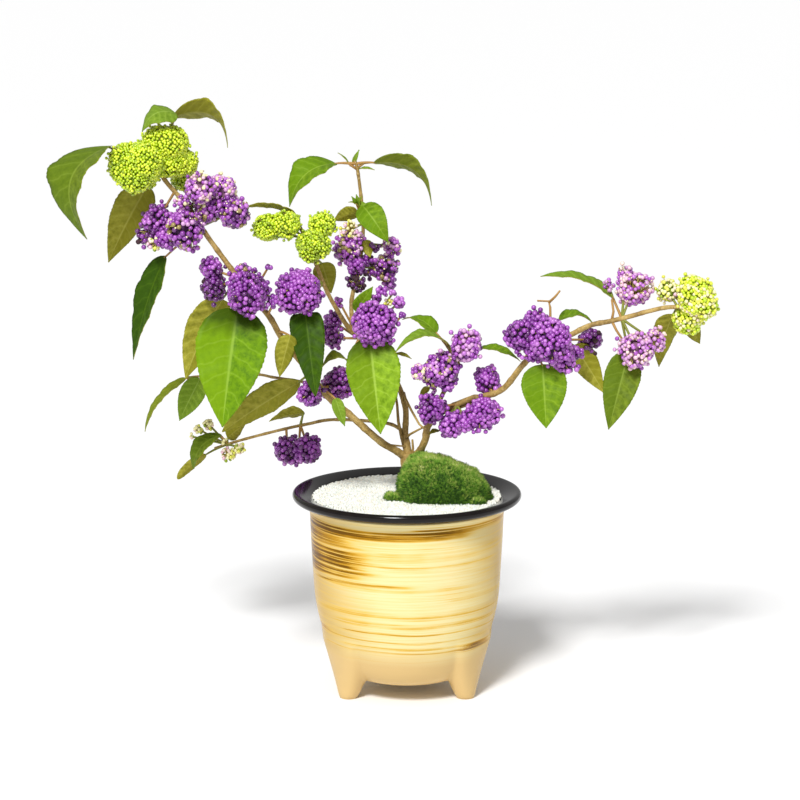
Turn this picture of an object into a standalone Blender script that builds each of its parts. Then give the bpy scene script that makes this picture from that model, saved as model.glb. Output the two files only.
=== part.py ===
"""A beautyberry bonsai in its three-footed glazed pot, at real size: metres, +Z up.

The floor is z = 0 and the feet stand on it. Sizes below are in millimetres, measured from the pot's axis.
The tree leans out to the viewer's left (-X) and right (+X); the viewer looks along +Y.
Each stem runs as a chain: a bare length of bough, then a mass that holds the next length of stem with its
leaves and fruit clusters, then the next bough, each 0.3 mm clear of the one before.
"""
import math
import random

import bmesh
import bpy
from mathutils import Matrix, Vector
from mathutils.geometry import delaunay_2d_cdt

MM = 0.001

# Driving dimensions, millimetres
POT_CENTRE = Vector((16.6, -1.8, 0.0))
CLEAR = 0.3
RIM_RADIUS = 75.0
RIM_TOP = 134.4
MOUTH_RADIUS = 61.4
BODY_RADIUS = 63.6
BELLY_BOTTOM = 11.0
POT_FLOOR = 17.5
DRAIN_RADIUS = 9.0
POT_SIDES = 30
FOOT_CIRCLE = 44.3
FOOT_BEARINGS = (210.0, 330.0, 90.0)
FOOT_FLAT = 4.4
FOOT_LEAN = 0.10
GRAVEL_TOP = 131.5
GRAVEL_BOTTOM = 124.0
PEBBLE_PITCH = 7.6
PEBBLE_DEPTH = 0.8
MOSS_CENTRE = (21.8, -9.5)
MOSS_REACH = (32.9, 20.5, 27.8)
MOSS_FULLNESS = 2.6
MOSS_SLOPE = 0.35
TRUNK_FOOT = GRAVEL_TOP + CLEAR
TRUNK_PLACE = (4.0, 6.0)
TRUNK_FLARE = 8.6
TRUNK_TOP_RADIUS = 4.8
END_RUN = 1.6
ROD_TWIST = 0.35

LEAF_THICKNESS = 0.8
LEAF_SLENDERNESS = 90.0
SMALL_LEAF = 30.0
LEAF_BASE_POWER = 0.6
LEAF_TIP_POWER = 1.2
LEAF_FOLD = 0.22
LEAF_WAVE = 0.12
PETIOLE_RADIUS = 0.9
PEDUNCLE_RADIUS = 0.8
BIG_CLUSTER = 15.2
SMALL_CLUSTER = 8.0
THICK_STEM = 1.9
INTERNODE = 14.0

# The ways that a leaf's upper side may face
FRONT = Vector((0.0, -0.95, 0.3))
FRONT_LEFT = Vector((-0.75, -0.6, 0.25))
BACK = Vector((-0.2, 0.9, 0.35))
UP = Vector((0.0, -0.2, 1.0))
UP_LEFT = Vector((-0.45, -0.5, 0.75))
UP_BACK = Vector((0.35, 0.45, 0.8))

# The stems' routes, each from its foot to its tip
FORK = Vector((1.0, 5.0, 153.0))
LEFT = [(-6, 3, 159), (-18, 0, 167), (-38, -5, 186), (-53, -10, 200), (-65, -16, 218), (-79, -22, 237),
        (-87, -26, 252), (-100, -26, 268), (-111, -22, 282), (-127, -16, 303), (-138, -13, 320),
        (-152, -12, 336), (-162, -12, 351)]
MIDDLE = [(0, 9, 163), (-1, 12, 170), (-1, 16, 186), (-7, 18, 203), (-19, 16, 221), (-35, 14, 236)]
MIDDLE_LEFT = [(-39, 11, 241), (-44, 6, 250), (-51, 0, 264), (-57, -6, 280), (-62, -8, 294), (-68, -8, 307)]
MIDDLE_RIGHT = [(-36, 16, 243), (-36, 20, 257), (-32, 28, 275), (-29, 34, 294), (-29, 34, 313),
                (-32, 30, 340), (-34, 29, 347)]
RIGHT = [(9, 0, 161), (12, -6, 169), (14, -8, 179), (23, -9, 188), (41, -13, 197), (49, -15, 199),
         (62, -18, 205), (75, -22, 222), (88, -25, 234), (104, -26, 241), (116, -26, 247), (130, -26, 250),
         (142, -26, 253), (152, -27, 256), (165, -28, 259), (178, -29, 259)]
CENTRE = [(17, -9, 183), (22, -3, 196), (30, -7, 211), (33, -10, 219), (26, -13, 232)]
LOW = [(-1, 12, 170), (-14, 24, 174), (-48, 46, 172), (-67, 56, 167), (-87, 64, 161), (-113, 70, 153),
       (-131, 72, 147)]
BEHIND = [(-58, -12, 206), (-70, 2, 206), (-87, 16, 206), (-102, 28, 206), (-140, 48, 201), (-147, 50, 199)]

# A stem's radius at its foot and at its tip
RADII = {"LEFT": (2.4, 1.3), "MIDDLE": (2.2, 1.6), "MIDDLE_LEFT": (1.5, 1.1), "MIDDLE_RIGHT": (1.5, 1.0),
         "RIGHT": (2.5, 1.4), "CENTRE": (1.6, 1.3), "LOW": (1.2, 0.9), "BEHIND": (1.0, 0.8)}
ROUTES = {"LEFT": LEFT, "MIDDLE": MIDDLE, "MIDDLE_LEFT": MIDDLE_LEFT, "MIDDLE_RIGHT": MIDDLE_RIGHT,
          "RIGHT": RIGHT, "CENTRE": CENTRE, "LOW": LOW, "BEHIND": BEHIND}

# Bare boughs: name, stem, and the route's points between which the bough runs
BOUGHS = [
    ("left_bough_1", "LEFT", 0, 3), ("left_bough_2", "LEFT", 4, 5), ("left_bough_3", "LEFT", 8, 9),
    ("middle_bough", "MIDDLE", 0, 4), ("middle_left_bough", "MIDDLE_LEFT", 0, 2),
    ("middle_right_bough", "MIDDLE_RIGHT", 0, 1), ("top_bough", "MIDDLE_RIGHT", 4, 5),
    ("right_bough_1", "RIGHT", 0, 3), ("right_bough_2", "RIGHT", 6, 7), ("right_bough_3", "RIGHT", 9, 11),
    ("right_bough_4", "RIGHT", 12, 14), ("centre_bough", "CENTRE", 0, 2),
    ("low_bough_1", "LOW", 0, 3), ("low_bough_2", "LOW", 4, 5), ("behind_bough", "BEHIND", 0, 4),
]

# Boughs that leave another limb's side: child stem, parent stem, the parent's point
SIDE_SHOOTS = {"CENTRE": ("RIGHT", 2.4), "LOW": ("MIDDLE", 1), "BEHIND": ("LEFT", 3.4)}

# Masses: name, stem, the points between which its stem runs, its leaves as (base, tip, width, arch, facing),
# and its fruit clusters as (centre, radius)
MASSES = [
    ("left_tip_mass", "LEFT", 11, 12,
     [((-187, -16, 360), (-203, -34, 303), 38, 25, FRONT_LEFT), ((-166, 0, 333), (-192, 0, 284), 25, 4, BACK),
      ((-147, -10, 382), (-166, -16, 371), 20, 6, UP_LEFT),
      ((-152, 2, 379), (-114, -6, 359), 25, 13, UP_BACK)],
     [((-169, -20, 348), 19), ((-154, -8, 357), 16), ((-144, -6, 348), 10.5), ((-143, 0, 337), 7.5)]),
    ("left_upper_mass", "LEFT", 9, 11,
     [((-154, -14, 290), (-175, -20, 224), 22, 3, FRONT_LEFT)],
     [((-157, -18, 318), 11.5), ((-163, -18, 304), 9.5), ((-141, -28, 309), 14), ((-130, -26, 333), 10.5),
      ((-117, -14, 332), 10.5), ((-110, -24, 319), 10.5), ((-126, -18, 320), 8.5), ((-152, -26, 303), 8)]),
    ("left_middle_mass", "LEFT", 5, 8,
     [((-118, -14, 262), (-143, -8, 209), 26, 6, BACK), ((-107, -34, 259), (-116, -56, 187), 45, 5, FRONT),
      ((-74, -33, 242), (-81, -33, 215), 14, 1, BACK)],
     [((-124, -20, 282), 8.5), ((-123, -20, 270), 9), ((-100, -42, 271), 15.5), ((-103, -40, 285), 5),
      ((-83, -40, 264), 5), ((-87, -36, 286), 3)]),
    ("left_lower_mass", "LEFT", 3, 4,
     [((-69, -10, 208), (-120, -6, 174), 18, 2, BACK), ((-46, -20, 199), (-40, -22, 181), 8, 1, FRONT)],
     [((-46, 8, 203), 11), ((-63, -18, 201), 8.5)]),
    ("middle_mass", "MIDDLE", 4, 5,
     [((-24, -6, 236), (-17, -18, 175), 35, 3, FRONT), ((-33, 6, 251), (-22, 2, 268), 10, 1, FRONT),
      ((-8, 8, 223), (3, 6, 220), 5, 1, UP), ((-38, 10, 217), (-55, 4, 215), 12, 6, UP)],
     [((-22, -10, 245), 15), ((-15, 2, 265), 5), ((-5, 0, 258), 5), ((-3, 0, 250), 3), ((-50, 20, 245), 6.5),
      ((-50, 20, 232), 8), ((-44, 12, 257), 4.5), ((-20, 4, 259), 4.5)]),
    ("middle_left_mass", "MIDDLE_LEFT", 2, 3,
     [((-65, -18, 254), (-58, -36, 203), 23, 2, FRONT)],
     [((-68, -22, 269), 15.5)]),
    ("middle_left_top_mass", "MIDDLE_LEFT", 3, 5,
     [((-71, -2, 314), (-104, -4, 320), 12, 3, UP_BACK), ((-55, 5, 283), (-49, 8, 263), 15, 1, BACK)],
     [((-89, -10, 307), 9.5), ((-76, -12, 310), 9.5), ((-55, -4, 308), 9.5), ((-59, -14, 294), 11)]),
    ("middle_right_mass", "MIDDLE_RIGHT", 1, 4,
     [((-29, 26, 318), (-12, 16, 295), 18, 6, FRONT), ((-32, 34, 313), (-48, 36, 307), 11, 1, BACK),
      ((-31, 30, 317), (-33, 28, 325), 4, 1, FRONT), ((-27, 30, 295), (-24, 26, 284), 8, 1, BACK)],
     [((-39, 24, 289), 9.5), ((-37, 28, 300), 7), ((-33, 22, 279), 6.5), ((-14, 34, 276), 9.5),
      ((-9, 34, 292), 6), ((-21, 30, 290), 5), ((-33, 22, 268), 7), ((-11, 36, 265), 5)]),
    ("top_mass", "MIDDLE_RIGHT", 5, 6,
     [((-46, 28, 345), (-76, 18, 318), 26, 10, UP_LEFT), ((-22, 32, 345), (16, 24, 318), 22, 13, UP_BACK),
      ((-37, 30, 343), (-45, 28, 352), 3, 1, UP), ((-35, 30, 345), (-31, 28, 354), 3, 1, FRONT),
      ((-32, 30, 341), (-21, 26, 341), 4, 1, UP)],
     []),
    ("centre_mass", "CENTRE", 2, 4,
     [((27, -14, 232), (-8, -26, 229), 12, 10, UP), ((19, -8, 239), (-3, 11, 245), 13, 5, UP),
      ((14, -8, 204), (8, -6, 195), 5, 1, BACK), ((47, -14, 230), (73, -10, 221), 12, 3, UP)],
     [((21, -18, 217), 12.4), ((7, -22, 216), 6), ((38, -16, 232), 11), ((26, -18, 208), 6)]),
    ("right_inner_mass", "RIGHT", 3, 6,
     [((21, -12, 176), (14, -16, 174), 5, 1, UP)],
     [((52, -8, 209), 9.5), ((16, -24, 193), 10.5), ((29, -22, 182), 9.5), ((49, -22, 190), 11.5),
      ((39, -24, 185), 8)]),
    ("right_middle_mass", "RIGHT", 7, 9,
     [((86, -32, 223), (88, -44, 184), 29, 1, FRONT), ((107, -18, 233), (127, -14, 201), 17, 5, BACK),
      ((97, -14, 249), (120, -12, 245), 15, 5, UP)],
     [((72, -32, 242), 11), ((82, -28, 248), 9.5), ((89, -38, 240), 15), ((98, -34, 228), 10.5),
      ((107, -28, 230), 6), ((118, -8, 235), 8.5), ((80, -32, 232), 8)]),
    ("right_outer_mass", "RIGHT", 11, 12,
     [((131, -22, 264), (85, -16, 277), 20, 6, UP), ((141, -26, 230), (128, -38, 182), 23, 2, FRONT)],
     [((144, -22, 270), 12.4), ((139, -20, 278), 7), ((128, -18, 271), 5), ((146, -34, 232), 12.4),
      ((157, -30, 238), 8)]),
    ("right_tip_mass", "RIGHT", 14, 15,
     [((170, -18, 253), (162, -12, 218), 17, 4, BACK), ((181, -16, 246), (188, -12, 233), 10, 1, BACK)],
     [((166, -20, 268), 8), ((183, -30, 264), 13.5), ((179, -24, 251), 10.5), ((180, -26, 272), 9)]),
    ("low_middle_mass", "LOW", 3, 4,
     [((-69, 56, 175), (-93, 60, 168), 16, 1, UP_BACK)],
     [((-80, 56, 148), 9), ((-66, 50, 153), 9.5), ((-72, 52, 157), 8)]),
    ("low_tip_mass", "LOW", 5, 6,
     [((-126, 69, 157), (-145, 65, 134), 17, 7, UP_LEFT), ((-130, 72, 148), (-157, 74, 125), 10, 2, BACK),
      ((-122, 71, 154.4), (-110, 76, 163), 12, 1, BACK)],
     [((-138, 71, 161), 6.5), ((-119, 68, 145), 7), ((-144, 74, 152), 4)]),
    ("behind_tip_mass", "BEHIND", 4, 5,
     [((-148, 52, 199), (-177, 60, 161), 10, 6, UP_LEFT), ((-138, 46, 200), (-152, 42, 172), 17, 1, FRONT)],
     []),
]

for old in list(bpy.data.objects):
    bpy.data.objects.remove(old, do_unlink=True)

scene = bpy.context.scene
parts = bpy.data.collections.new("beautyberry_bonsai")
helpers = bpy.data.collections.new("cutters")
joined = bpy.data.collections.new("pieces_to_join")
for group in (parts, helpers, joined):
    scene.collection.children.link(group)


def material(name, colour, roughness):
    made = bpy.data.materials.new(name)
    made.use_nodes = True
    shader = made.node_tree.nodes["Principled BSDF"]
    shader.inputs["Base Color"].default_value = (*colour, 1.0)
    shader.inputs["Roughness"].default_value = roughness
    return made


GLAZE = material("cream_glaze", (0.72, 0.60, 0.36), 0.25)
SOIL = material("soil", (0.10, 0.06, 0.04), 0.95)
GRAVEL = material("white_gravel", (0.85, 0.85, 0.82), 0.80)
MOSS = material("moss", (0.05, 0.13, 0.02), 0.95)
BARK = material("bark", (0.36, 0.22, 0.09), 0.85)
FRUITING = material("leaves_and_fruit", (0.16, 0.08, 0.22), 0.50)
LEAFY = material("leaves", (0.14, 0.26, 0.04), 0.50)


def place(point):
    """A point given in millimetres from the pot's axis, in metres."""
    return (Vector(point) + POT_CENTRE) * MM


def add_mesh(name, bm, group, finish=None):
    mesh = bpy.data.meshes.new(name)
    bm.to_mesh(mesh)
    bm.free()
    piece = bpy.data.objects.new(name, mesh)
    group.objects.link(piece)
    if finish:
        mesh.materials.append(finish)
    return piece


def evaluated_mesh(piece, weld=1e-7):
    """The piece's mesh with its modifiers applied and its loose caps welded."""
    bpy.context.view_layer.update()
    graph = bpy.context.evaluated_depsgraph_get()
    mesh = bpy.data.meshes.new_from_object(piece.evaluated_get(graph))
    mesh.transform(piece.matrix_world)
    bm = bmesh.new()
    bm.from_mesh(mesh)
    bmesh.ops.remove_doubles(bm, verts=bm.verts, dist=weld)
    bm.to_mesh(mesh)
    bm.free()
    return mesh


def settle(piece, sharp_angle=40.0):
    """Applies a piece's modifiers and shades it smooth."""
    name = piece.name
    finishes = list(piece.data.materials)
    mesh = evaluated_mesh(piece)
    groups = piece.users_collection
    bpy.data.objects.remove(piece, do_unlink=True)
    mesh.materials.clear()
    for finish in finishes:
        mesh.materials.append(finish)
    mesh.polygons.foreach_set("material_index", [0] * len(mesh.polygons))
    mesh.shade_smooth()
    mesh.set_sharp_from_angle(angle=math.radians(sharp_angle))
    settled = bpy.data.objects.new(name, mesh)
    for group in groups:
        group.objects.link(settled)
    return settled


def keep_largest_shell(mesh):
    """Fills hollows that joining sealed and drops loose scraps, by keeping the largest shell alone."""
    bm = bmesh.new()
    bm.from_mesh(mesh)
    unseen = set(bm.faces)
    shells = []
    while unseen:
        shell, edge_of_search = set(), [unseen.pop()]
        while edge_of_search:
            face = edge_of_search.pop()
            shell.add(face)
            for edge in face.edges:
                for beyond in edge.link_faces:
                    if beyond in unseen:
                        unseen.remove(beyond)
                        edge_of_search.append(beyond)
        shells.append(shell)
    shells.sort(key=lambda shell: sum(face.calc_area() for face in shell))
    for scrap in shells[:-1]:
        bmesh.ops.delete(bm, geom=list(scrap), context="FACES")
    bm.to_mesh(mesh)
    bm.free()


def is_closed(mesh):
    bm = bmesh.new()
    bm.from_mesh(mesh)
    closed = all(edge.is_manifold for edge in bm.edges) and all(vert.is_manifold for vert in bm.verts)
    bm.free()
    return closed


def join_all(piece):
    """Unites the piece with everything in the pieces_to_join collection, then empties that collection."""
    union = piece.modifiers.new("join", "BOOLEAN")
    union.operation = "UNION"
    union.operand_type = "COLLECTION"
    union.collection = joined
    if not is_closed(evaluated_mesh(piece)):
        union.solver = "MANIFOLD"
    settled = settle(piece)
    keep_largest_shell(settled.data)
    for used in list(joined.objects):
        bpy.data.objects.remove(used, do_unlink=True)
    return settled


def cut(piece, cutter):
    cutter.hide_render = True
    cutter.display_type = "WIRE"
    boolean = piece.modifiers.new("cut_" + cutter.name, "BOOLEAN")
    boolean.operation = "DIFFERENCE"
    boolean.object = cutter


def turned(name, profile, group, finish=None, steps=POT_SIDES):
    """A solid turned about the pot's axis from a profile of (radius, height), top to bottom."""
    mesh = bpy.data.meshes.new(name)
    edges = [(i, i + 1) for i in range(len(profile) - 1)]
    mesh.from_pydata([(r * MM, 0.0, z * MM) for r, z in profile], edges, [])
    piece = bpy.data.objects.new(name, mesh)
    piece.location = place((0, 0, 0))
    group.objects.link(piece)
    screw = piece.modifiers.new("turn", "SCREW")
    screw.axis = "Z"
    screw.steps = steps
    screw.render_steps = steps
    screw.use_merge_vertices = True
    screw.merge_threshold = 0.00001
    if finish:
        mesh.materials.append(finish)
    return piece


def tube(name, points, radii, group, finish=None, sides=8):
    """A tapering limb along points in millimetres, with flat ends square to its first and last runs."""
    curve = bpy.data.curves.new(name, "CURVE")
    curve.dimensions = "3D"
    curve.bevel_depth = MM
    curve.bevel_resolution = (sides - 4) // 2
    curve.use_fill_caps = True
    spline = curve.splines.new("POLY")
    spline.points.add(len(points) - 1)
    for slot, point, radius in zip(spline.points, points, radii):
        slot.co = (*place(point), 1.0)
        slot.radius = radius
    line = bpy.data.objects.new(name + "_line", curve)
    group.objects.link(line)
    mesh = evaluated_mesh(line)
    bpy.data.objects.remove(line, do_unlink=True)
    mesh.shade_smooth()
    mesh.set_sharp_from_angle(angle=math.radians(50.0))
    piece = bpy.data.objects.new(name, mesh)
    group.objects.link(piece)
    if finish:
        mesh.materials.clear()
        mesh.materials.append(finish)
    return piece


def rod(name, start, end, start_radius, end_radius, group, sides=4):
    """A straight tapering twig between two points in millimetres."""
    start, end = Vector(start), Vector(end)
    run = end - start
    bm = bmesh.new()
    turn = run.to_track_quat("Z", "Y").to_matrix().to_4x4() @ Matrix.Rotation(ROD_TWIST, 4, "Z")
    matrix = Matrix.Translation(place((start + end) / 2)) @ turn
    bmesh.ops.create_cone(bm, cap_ends=True, segments=sides, radius1=start_radius * MM,
                          radius2=end_radius * MM, depth=run.length * MM, matrix=matrix)
    return add_mesh(name, bm, group)


def along(stem, station):
    """The point, heading and radius of a stem at a station, counted in points of its route."""
    route = [Vector(p) for p in ROUTES[stem]]
    last = len(route) - 1
    i = min(int(station), last - 1)
    t = station - i
    before = route[i - 1] if i > 0 else route[i] * 2 - route[i + 1]
    after = route[i + 2] if i + 2 <= last else route[i + 1] * 2 - route[i]
    a, b = route[i], route[i + 1]
    point = 0.5 * (2 * a + (b - before) * t + (2 * before - 5 * a + 4 * b - after) * t ** 2
                   + (3 * a - before - 3 * b + after) * t ** 3)
    heading = 0.5 * ((b - before) + 2 * (2 * before - 5 * a + 4 * b - after) * t
                     + 3 * (3 * a - before - 3 * b + after) * t ** 2)
    first_radius, last_radius = RADII[stem]
    return point, heading.normalized(), first_radius + (last_radius - first_radius) * station / last


def fork_stub(origin, stem, root_radius):
    """A short length from a fork to where the stem's first bough begins, square to that bough."""
    start, heading, radius = along(stem, 0)
    run = [origin, start - heading * END_RUN, start - heading * CLEAR / 2]
    tube("stub", run, [root_radius, radius, radius], joined, sides=8)


def limb_points(stem, first, last, cleared_start=True):
    """Points and radii of a length of stem, stopped half a clearance short of each end."""
    start, heading, radius = along(stem, first)
    points, radii = [], []
    if cleared_start:
        points = [start + heading * CLEAR / 2, start + heading * END_RUN]
        radii = [radius, radius]
    else:
        points, radii = [start], [radius]
    steps = max(1, round((last - first) * 2))
    for k in range(1, steps):
        point, _, radius = along(stem, first + (last - first) * k / steps)
        points.append(point)
        radii.append(radius)
    end, heading, radius = along(stem, last)
    points += [end - heading * END_RUN, end - heading * CLEAR / 2]
    radii += [radius, radius]
    return points, radii


def side_start(stem, parent, station):
    """Where a side shoot begins: its foot, square to its own heading, just clear of its parent's side."""
    origin = along(parent, station)[0]
    heading = (Vector(ROUTES[stem][1]) - origin).normalized()
    across = heading.orthogonal().normalized() * RADII[stem][0]
    parent_line = [along(parent, station + k / 20) for k in range(-15, 16)]
    reach = 0.0
    while True:
        foot = origin + heading * reach
        rim = [foot + Matrix.Rotation(math.tau * k / 12, 3, heading) @ across for k in range(12)]
        if all((corner - point).length > girth + CLEAR for corner in rim for point, _, girth in parent_line):
            return foot
        reach += 0.1


# The pot: a turned body with an everted rim, joined to three moulded feet, then hollowed and drained
outside = [(0, 132.6), (62, 132.6), (72.5, RIM_TOP), (RIM_RADIUS, 132.2), (74.6, 129.6), (71.5, 128.4),
           (65.0, 126.2), (BODY_RADIUS, 119), (63.3, 108), (61.2, 66), (59.2, 54), (55.8, 42.5), (50.8, 30),
           (45, 20.5), (37.5, 13.6), (28, BELLY_BOTTOM), (0, BELLY_BOTTOM)]
inside = [(0, 140), (MOUTH_RADIUS, 140), (MOUTH_RADIUS, 132), (58.2, 123), (53.6, 56),
          (45, 27), (32, POT_FLOOR), (0, POT_FLOOR)]
foot_rings = [(5.4, 1.0), (7.6, 7.0), (11.0, 18.0), (7.0, 34.0)]

pot = turned("pot", outside, parts, GLAZE)
for index, bearing in enumerate(FOOT_BEARINGS):
    direction = Vector((math.cos(math.radians(bearing)), math.sin(math.radians(bearing)), 0))
    bm = bmesh.new()
    bmesh.ops.create_cone(bm, cap_ends=True, segments=10, radius1=FOOT_FLAT * MM, radius2=FOOT_FLAT * MM,
                          depth=2 * MM)
    for corner in bm.verts:
        corner.co.z = 0.0 if corner.co.z < 0 else foot_rings[0][1] * MM
        if corner.co.z > 0:
            corner.co.xy *= foot_rings[0][0] / FOOT_FLAT
    top = max(bm.faces, key=lambda face: face.calc_center_median().z)
    for ring_radius, height in foot_rings[1:]:
        lifted = bmesh.ops.extrude_discrete_faces(bm, faces=[top])["faces"]
        top = lifted[0]
        centre = top.calc_center_median()
        grow = ring_radius * MM / (top.verts[0].co.xy - centre.xy).length
        for corner in top.verts:
            corner.co.xy = centre.xy + (corner.co.xy - centre.xy) * grow
            corner.co.z = height * MM
    bmesh.ops.recalc_face_normals(bm, faces=bm.faces)
    base = place(direction * FOOT_CIRCLE)
    for corner in bm.verts:
        corner.co += base - direction * corner.co.z * FOOT_LEAN
    add_mesh(f"foot_{index}", bm, joined)
pot = join_all(pot)
hollow = turned("pot_hollow", inside, helpers)
drain = rod("drain_hole", (0, 0, BELLY_BOTTOM - 3), (0, 0, POT_FLOOR + 3), DRAIN_RADIUS, DRAIN_RADIUS,
            helpers, sides=16)
cut(pot, hollow)
cut(pot, drain)

# Soil fills the hollow up to the gravel, just clear of its wall
fill_wall = [(r - CLEAR - 0.1, z) for r, z in inside[2:-1]]


def fill_radius(height):
    """How far a fill reaches at a height, following the pot's inner wall."""
    for (r_high, z_high), (r_low, z_low) in zip(fill_wall, fill_wall[1:]):
        if z_low <= height <= z_high:
            return r_low + (r_high - r_low) * (height - z_low) / (z_high - z_low)
    return fill_wall[-1][0]


soil_top, soil_bottom = GRAVEL_BOTTOM - CLEAR, POT_FLOOR + CLEAR + 0.2
soil_side = [(r, z) for r, z in fill_wall if soil_bottom < z < soil_top - 0.5]
turned("soil", [(0, soil_top), (fill_radius(soil_top), soil_top), *soil_side,
                (fill_radius(soil_bottom), soil_bottom), (0, soil_bottom)], parts, SOIL)


def under_cover(spot):
    """True where the moss or the trunk's foot stands on the gravel."""
    off_moss = Vector(((spot.x - MOSS_CENTRE[0]) / MOSS_REACH[0], (spot.y - MOSS_CENTRE[1]) / MOSS_REACH[1]))
    return off_moss.length < 1.0 or (spot - Vector(TRUNK_PLACE)).length < TRUNK_FLARE


# White gravel on the soil: a bed whose top dips between its coarsest pebbles, level under moss and trunk
noise = random.Random(11)
around = [Vector((math.cos(math.tau * k / POT_SIDES), math.sin(math.tau * k / POT_SIDES)))
          for k in range(POT_SIDES)]
spots = [direction * fill_radius(GRAVEL_TOP) for direction in around]
rows = round(fill_radius(GRAVEL_TOP) / PEBBLE_PITCH) + 2
for row in range(-rows, rows + 1):
    for column in range(-rows, rows + 1):
        spot = Vector((column + 0.5 * (row % 2), row * math.sqrt(0.75))) * PEBBLE_PITCH
        spot += Vector((noise.uniform(-1, 1), noise.uniform(-1, 1))) * PEBBLE_PITCH * 0.2
        if spot.length < fill_radius(GRAVEL_TOP) - PEBBLE_PITCH * 0.5:
            spots.append(spot)
flat, _, triangles, _, _, _ = delaunay_2d_cdt(spots, [], [list(range(POT_SIDES))], 1, 1e-6)
bm = bmesh.new()
pebbles = []
for spot in flat:
    dip = 0.0 if under_cover(spot) else noise.uniform(0.0, PEBBLE_DEPTH)
    pebbles.append(bm.verts.new(place((*spot, GRAVEL_TOP - dip))))
for triangle in triangles:
    bm.faces.new([pebbles[k] for k in triangle])
lower_rim = [bm.verts.new(place((*(direction * fill_radius(GRAVEL_BOTTOM)), GRAVEL_BOTTOM)))
             for direction in around]
for k in range(POT_SIDES):
    following = (k + 1) % POT_SIDES
    bm.faces.new([pebbles[k], lower_rim[k], lower_rim[following], pebbles[following]])
bm.faces.new(reversed(lower_rim))
bmesh.ops.recalc_face_normals(bm, faces=bm.faces)
add_mesh("gravel", bm, parts, GRAVEL)

# The trunk: a short flared foot, cut flat on the gravel, up to the fork with one stub for each stem
trunk_route = [(*TRUNK_PLACE, TRUNK_FOOT), (*TRUNK_PLACE, TRUNK_FOOT + 2), (3.6, 5.8, TRUNK_FOOT + 7),
               (2.2, 5.2, TRUNK_FOOT + 14), tuple(FORK + Vector((0, 0, 1)))]
trunk_radii = [TRUNK_FLARE, TRUNK_FLARE - 0.8, 6.6, 5.6, TRUNK_TOP_RADIUS]
trunk = tube("trunk", trunk_route, trunk_radii, parts, BARK, sides=12)
for stem in ("LEFT", "MIDDLE", "RIGHT"):
    fork_stub(FORK, stem, RADII[stem][0] * 1.35)
trunk = join_all(trunk)

# Moss: one mound on the gravel against the trunk's foot, higher at its left end
noise = random.Random(5)
bm = bmesh.new()
bmesh.ops.create_icosphere(bm, subdivisions=3, radius=1.0)
for corner in bm.verts:
    fullness = sum(abs(part) ** MOSS_FULLNESS for part in corner.co) ** (1.0 / MOSS_FULLNESS)
    corner.co *= (1.0 + noise.uniform(-0.03, 0.03)) / fullness
    corner.co.z *= 1.0 - MOSS_SLOPE * corner.co.x
    corner.co = Vector((corner.co[i] * MOSS_REACH[i] for i in range(3)))
    corner.co += Vector((*MOSS_CENTRE, GRAVEL_TOP + CLEAR))
    corner.co = place(corner.co)
everything = list(bm.verts) + list(bm.edges) + list(bm.faces)
sliced = bmesh.ops.bisect_plane(bm, geom=everything, plane_co=place((0, 0, GRAVEL_TOP + CLEAR)),
                                plane_no=(0, 0, -1), clear_outer=True)
rim = [e for e in sliced["geom_cut"] if isinstance(e, bmesh.types.BMEdge)]
bmesh.ops.holes_fill(bm, edges=rim)
bmesh.ops.recalc_face_normals(bm, faces=bm.faces)
moss = add_mesh("moss", bm, parts, MOSS)
trunk_room = tube("trunk_room", [(4, 6, TRUNK_FOOT - 5)] + trunk_route[1:-1] + [(1, 5, 170)],
                  [TRUNK_FLARE + 3 * CLEAR] * 2 + [r + 3 * CLEAR for r in trunk_radii[2:]], helpers, sides=12)
cut(moss, trunk_room)
right_start, right_heading, right_radius = along("RIGHT", 0)
stub_room = tube("stub_room", [FORK - Vector((0, 0, 6)), FORK, right_start, right_start + right_heading * 6],
                 [4.0, RADII["RIGHT"][0] * 1.35 + 2 * CLEAR, right_radius + 3 * CLEAR, right_radius + 3 * CLEAR],
                 helpers, sides=12)
cut(moss, stub_room)
moss = settle(moss)

# Bare boughs
for stem, (parent, station) in SIDE_SHOOTS.items():
    ROUTES[stem][0] = tuple(side_start(stem, parent, station))
for name, stem, first, last in BOUGHS:
    side_shoot = stem in SIDE_SHOOTS and first == 0
    points, radii = limb_points(stem, first, last, cleared_start=not side_shoot)
    tube(name, points, radii, parts, BARK, sides=8 if radii[0] > THICK_STEM else 6)


def blade_outline(t):
    """How wide a blade is at a share of its length, widest nearer its base."""
    return t ** LEAF_BASE_POWER * (1 - t) ** LEAF_TIP_POWER


def leaf(base, tip, width, arch, facing, spin):
    """A pointed oval blade that arches between its base and its tip, upper side towards its facing."""
    base, tip = Vector(base), Vector(tip)
    chord = tip - base
    normal = (facing - chord * facing.dot(chord) / chord.length_squared).normalized()
    side = chord.cross(normal).normalized()
    widest = LEAF_BASE_POWER / (LEAF_BASE_POWER + LEAF_TIP_POWER)
    bm = bmesh.new()
    steps = 4 if chord.length > SMALL_LEAF else 2
    bmesh.ops.create_grid(bm, x_segments=2 if steps > 2 else 1, y_segments=steps, size=1.0)
    for corner in bm.verts:
        across, t = corner.co.x, (corner.co.y + 1.0) / 2
        fullness = blade_outline(t) / blade_outline(widest)
        half = max(width / 2 * fullness, 0.4)
        middle = base + chord * t + normal * 4 * arch * t * (1 - t)
        fold = normal * abs(across) * half * LEAF_FOLD
        wave = normal * across * half * LEAF_WAVE * math.sin(5 * t + spin)
        corner.co = place(middle + side * across * half + fold + wave)
    blade = add_mesh("blade", bm, joined)
    shell = blade.modifiers.new("thickness", "SOLIDIFY")
    shell.thickness = max(LEAF_THICKNESS, chord.length / LEAF_SLENDERNESS) * MM
    shell.offset = 0.0
    return base + chord * 0.06 + normal * arch * 0.22


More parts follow.
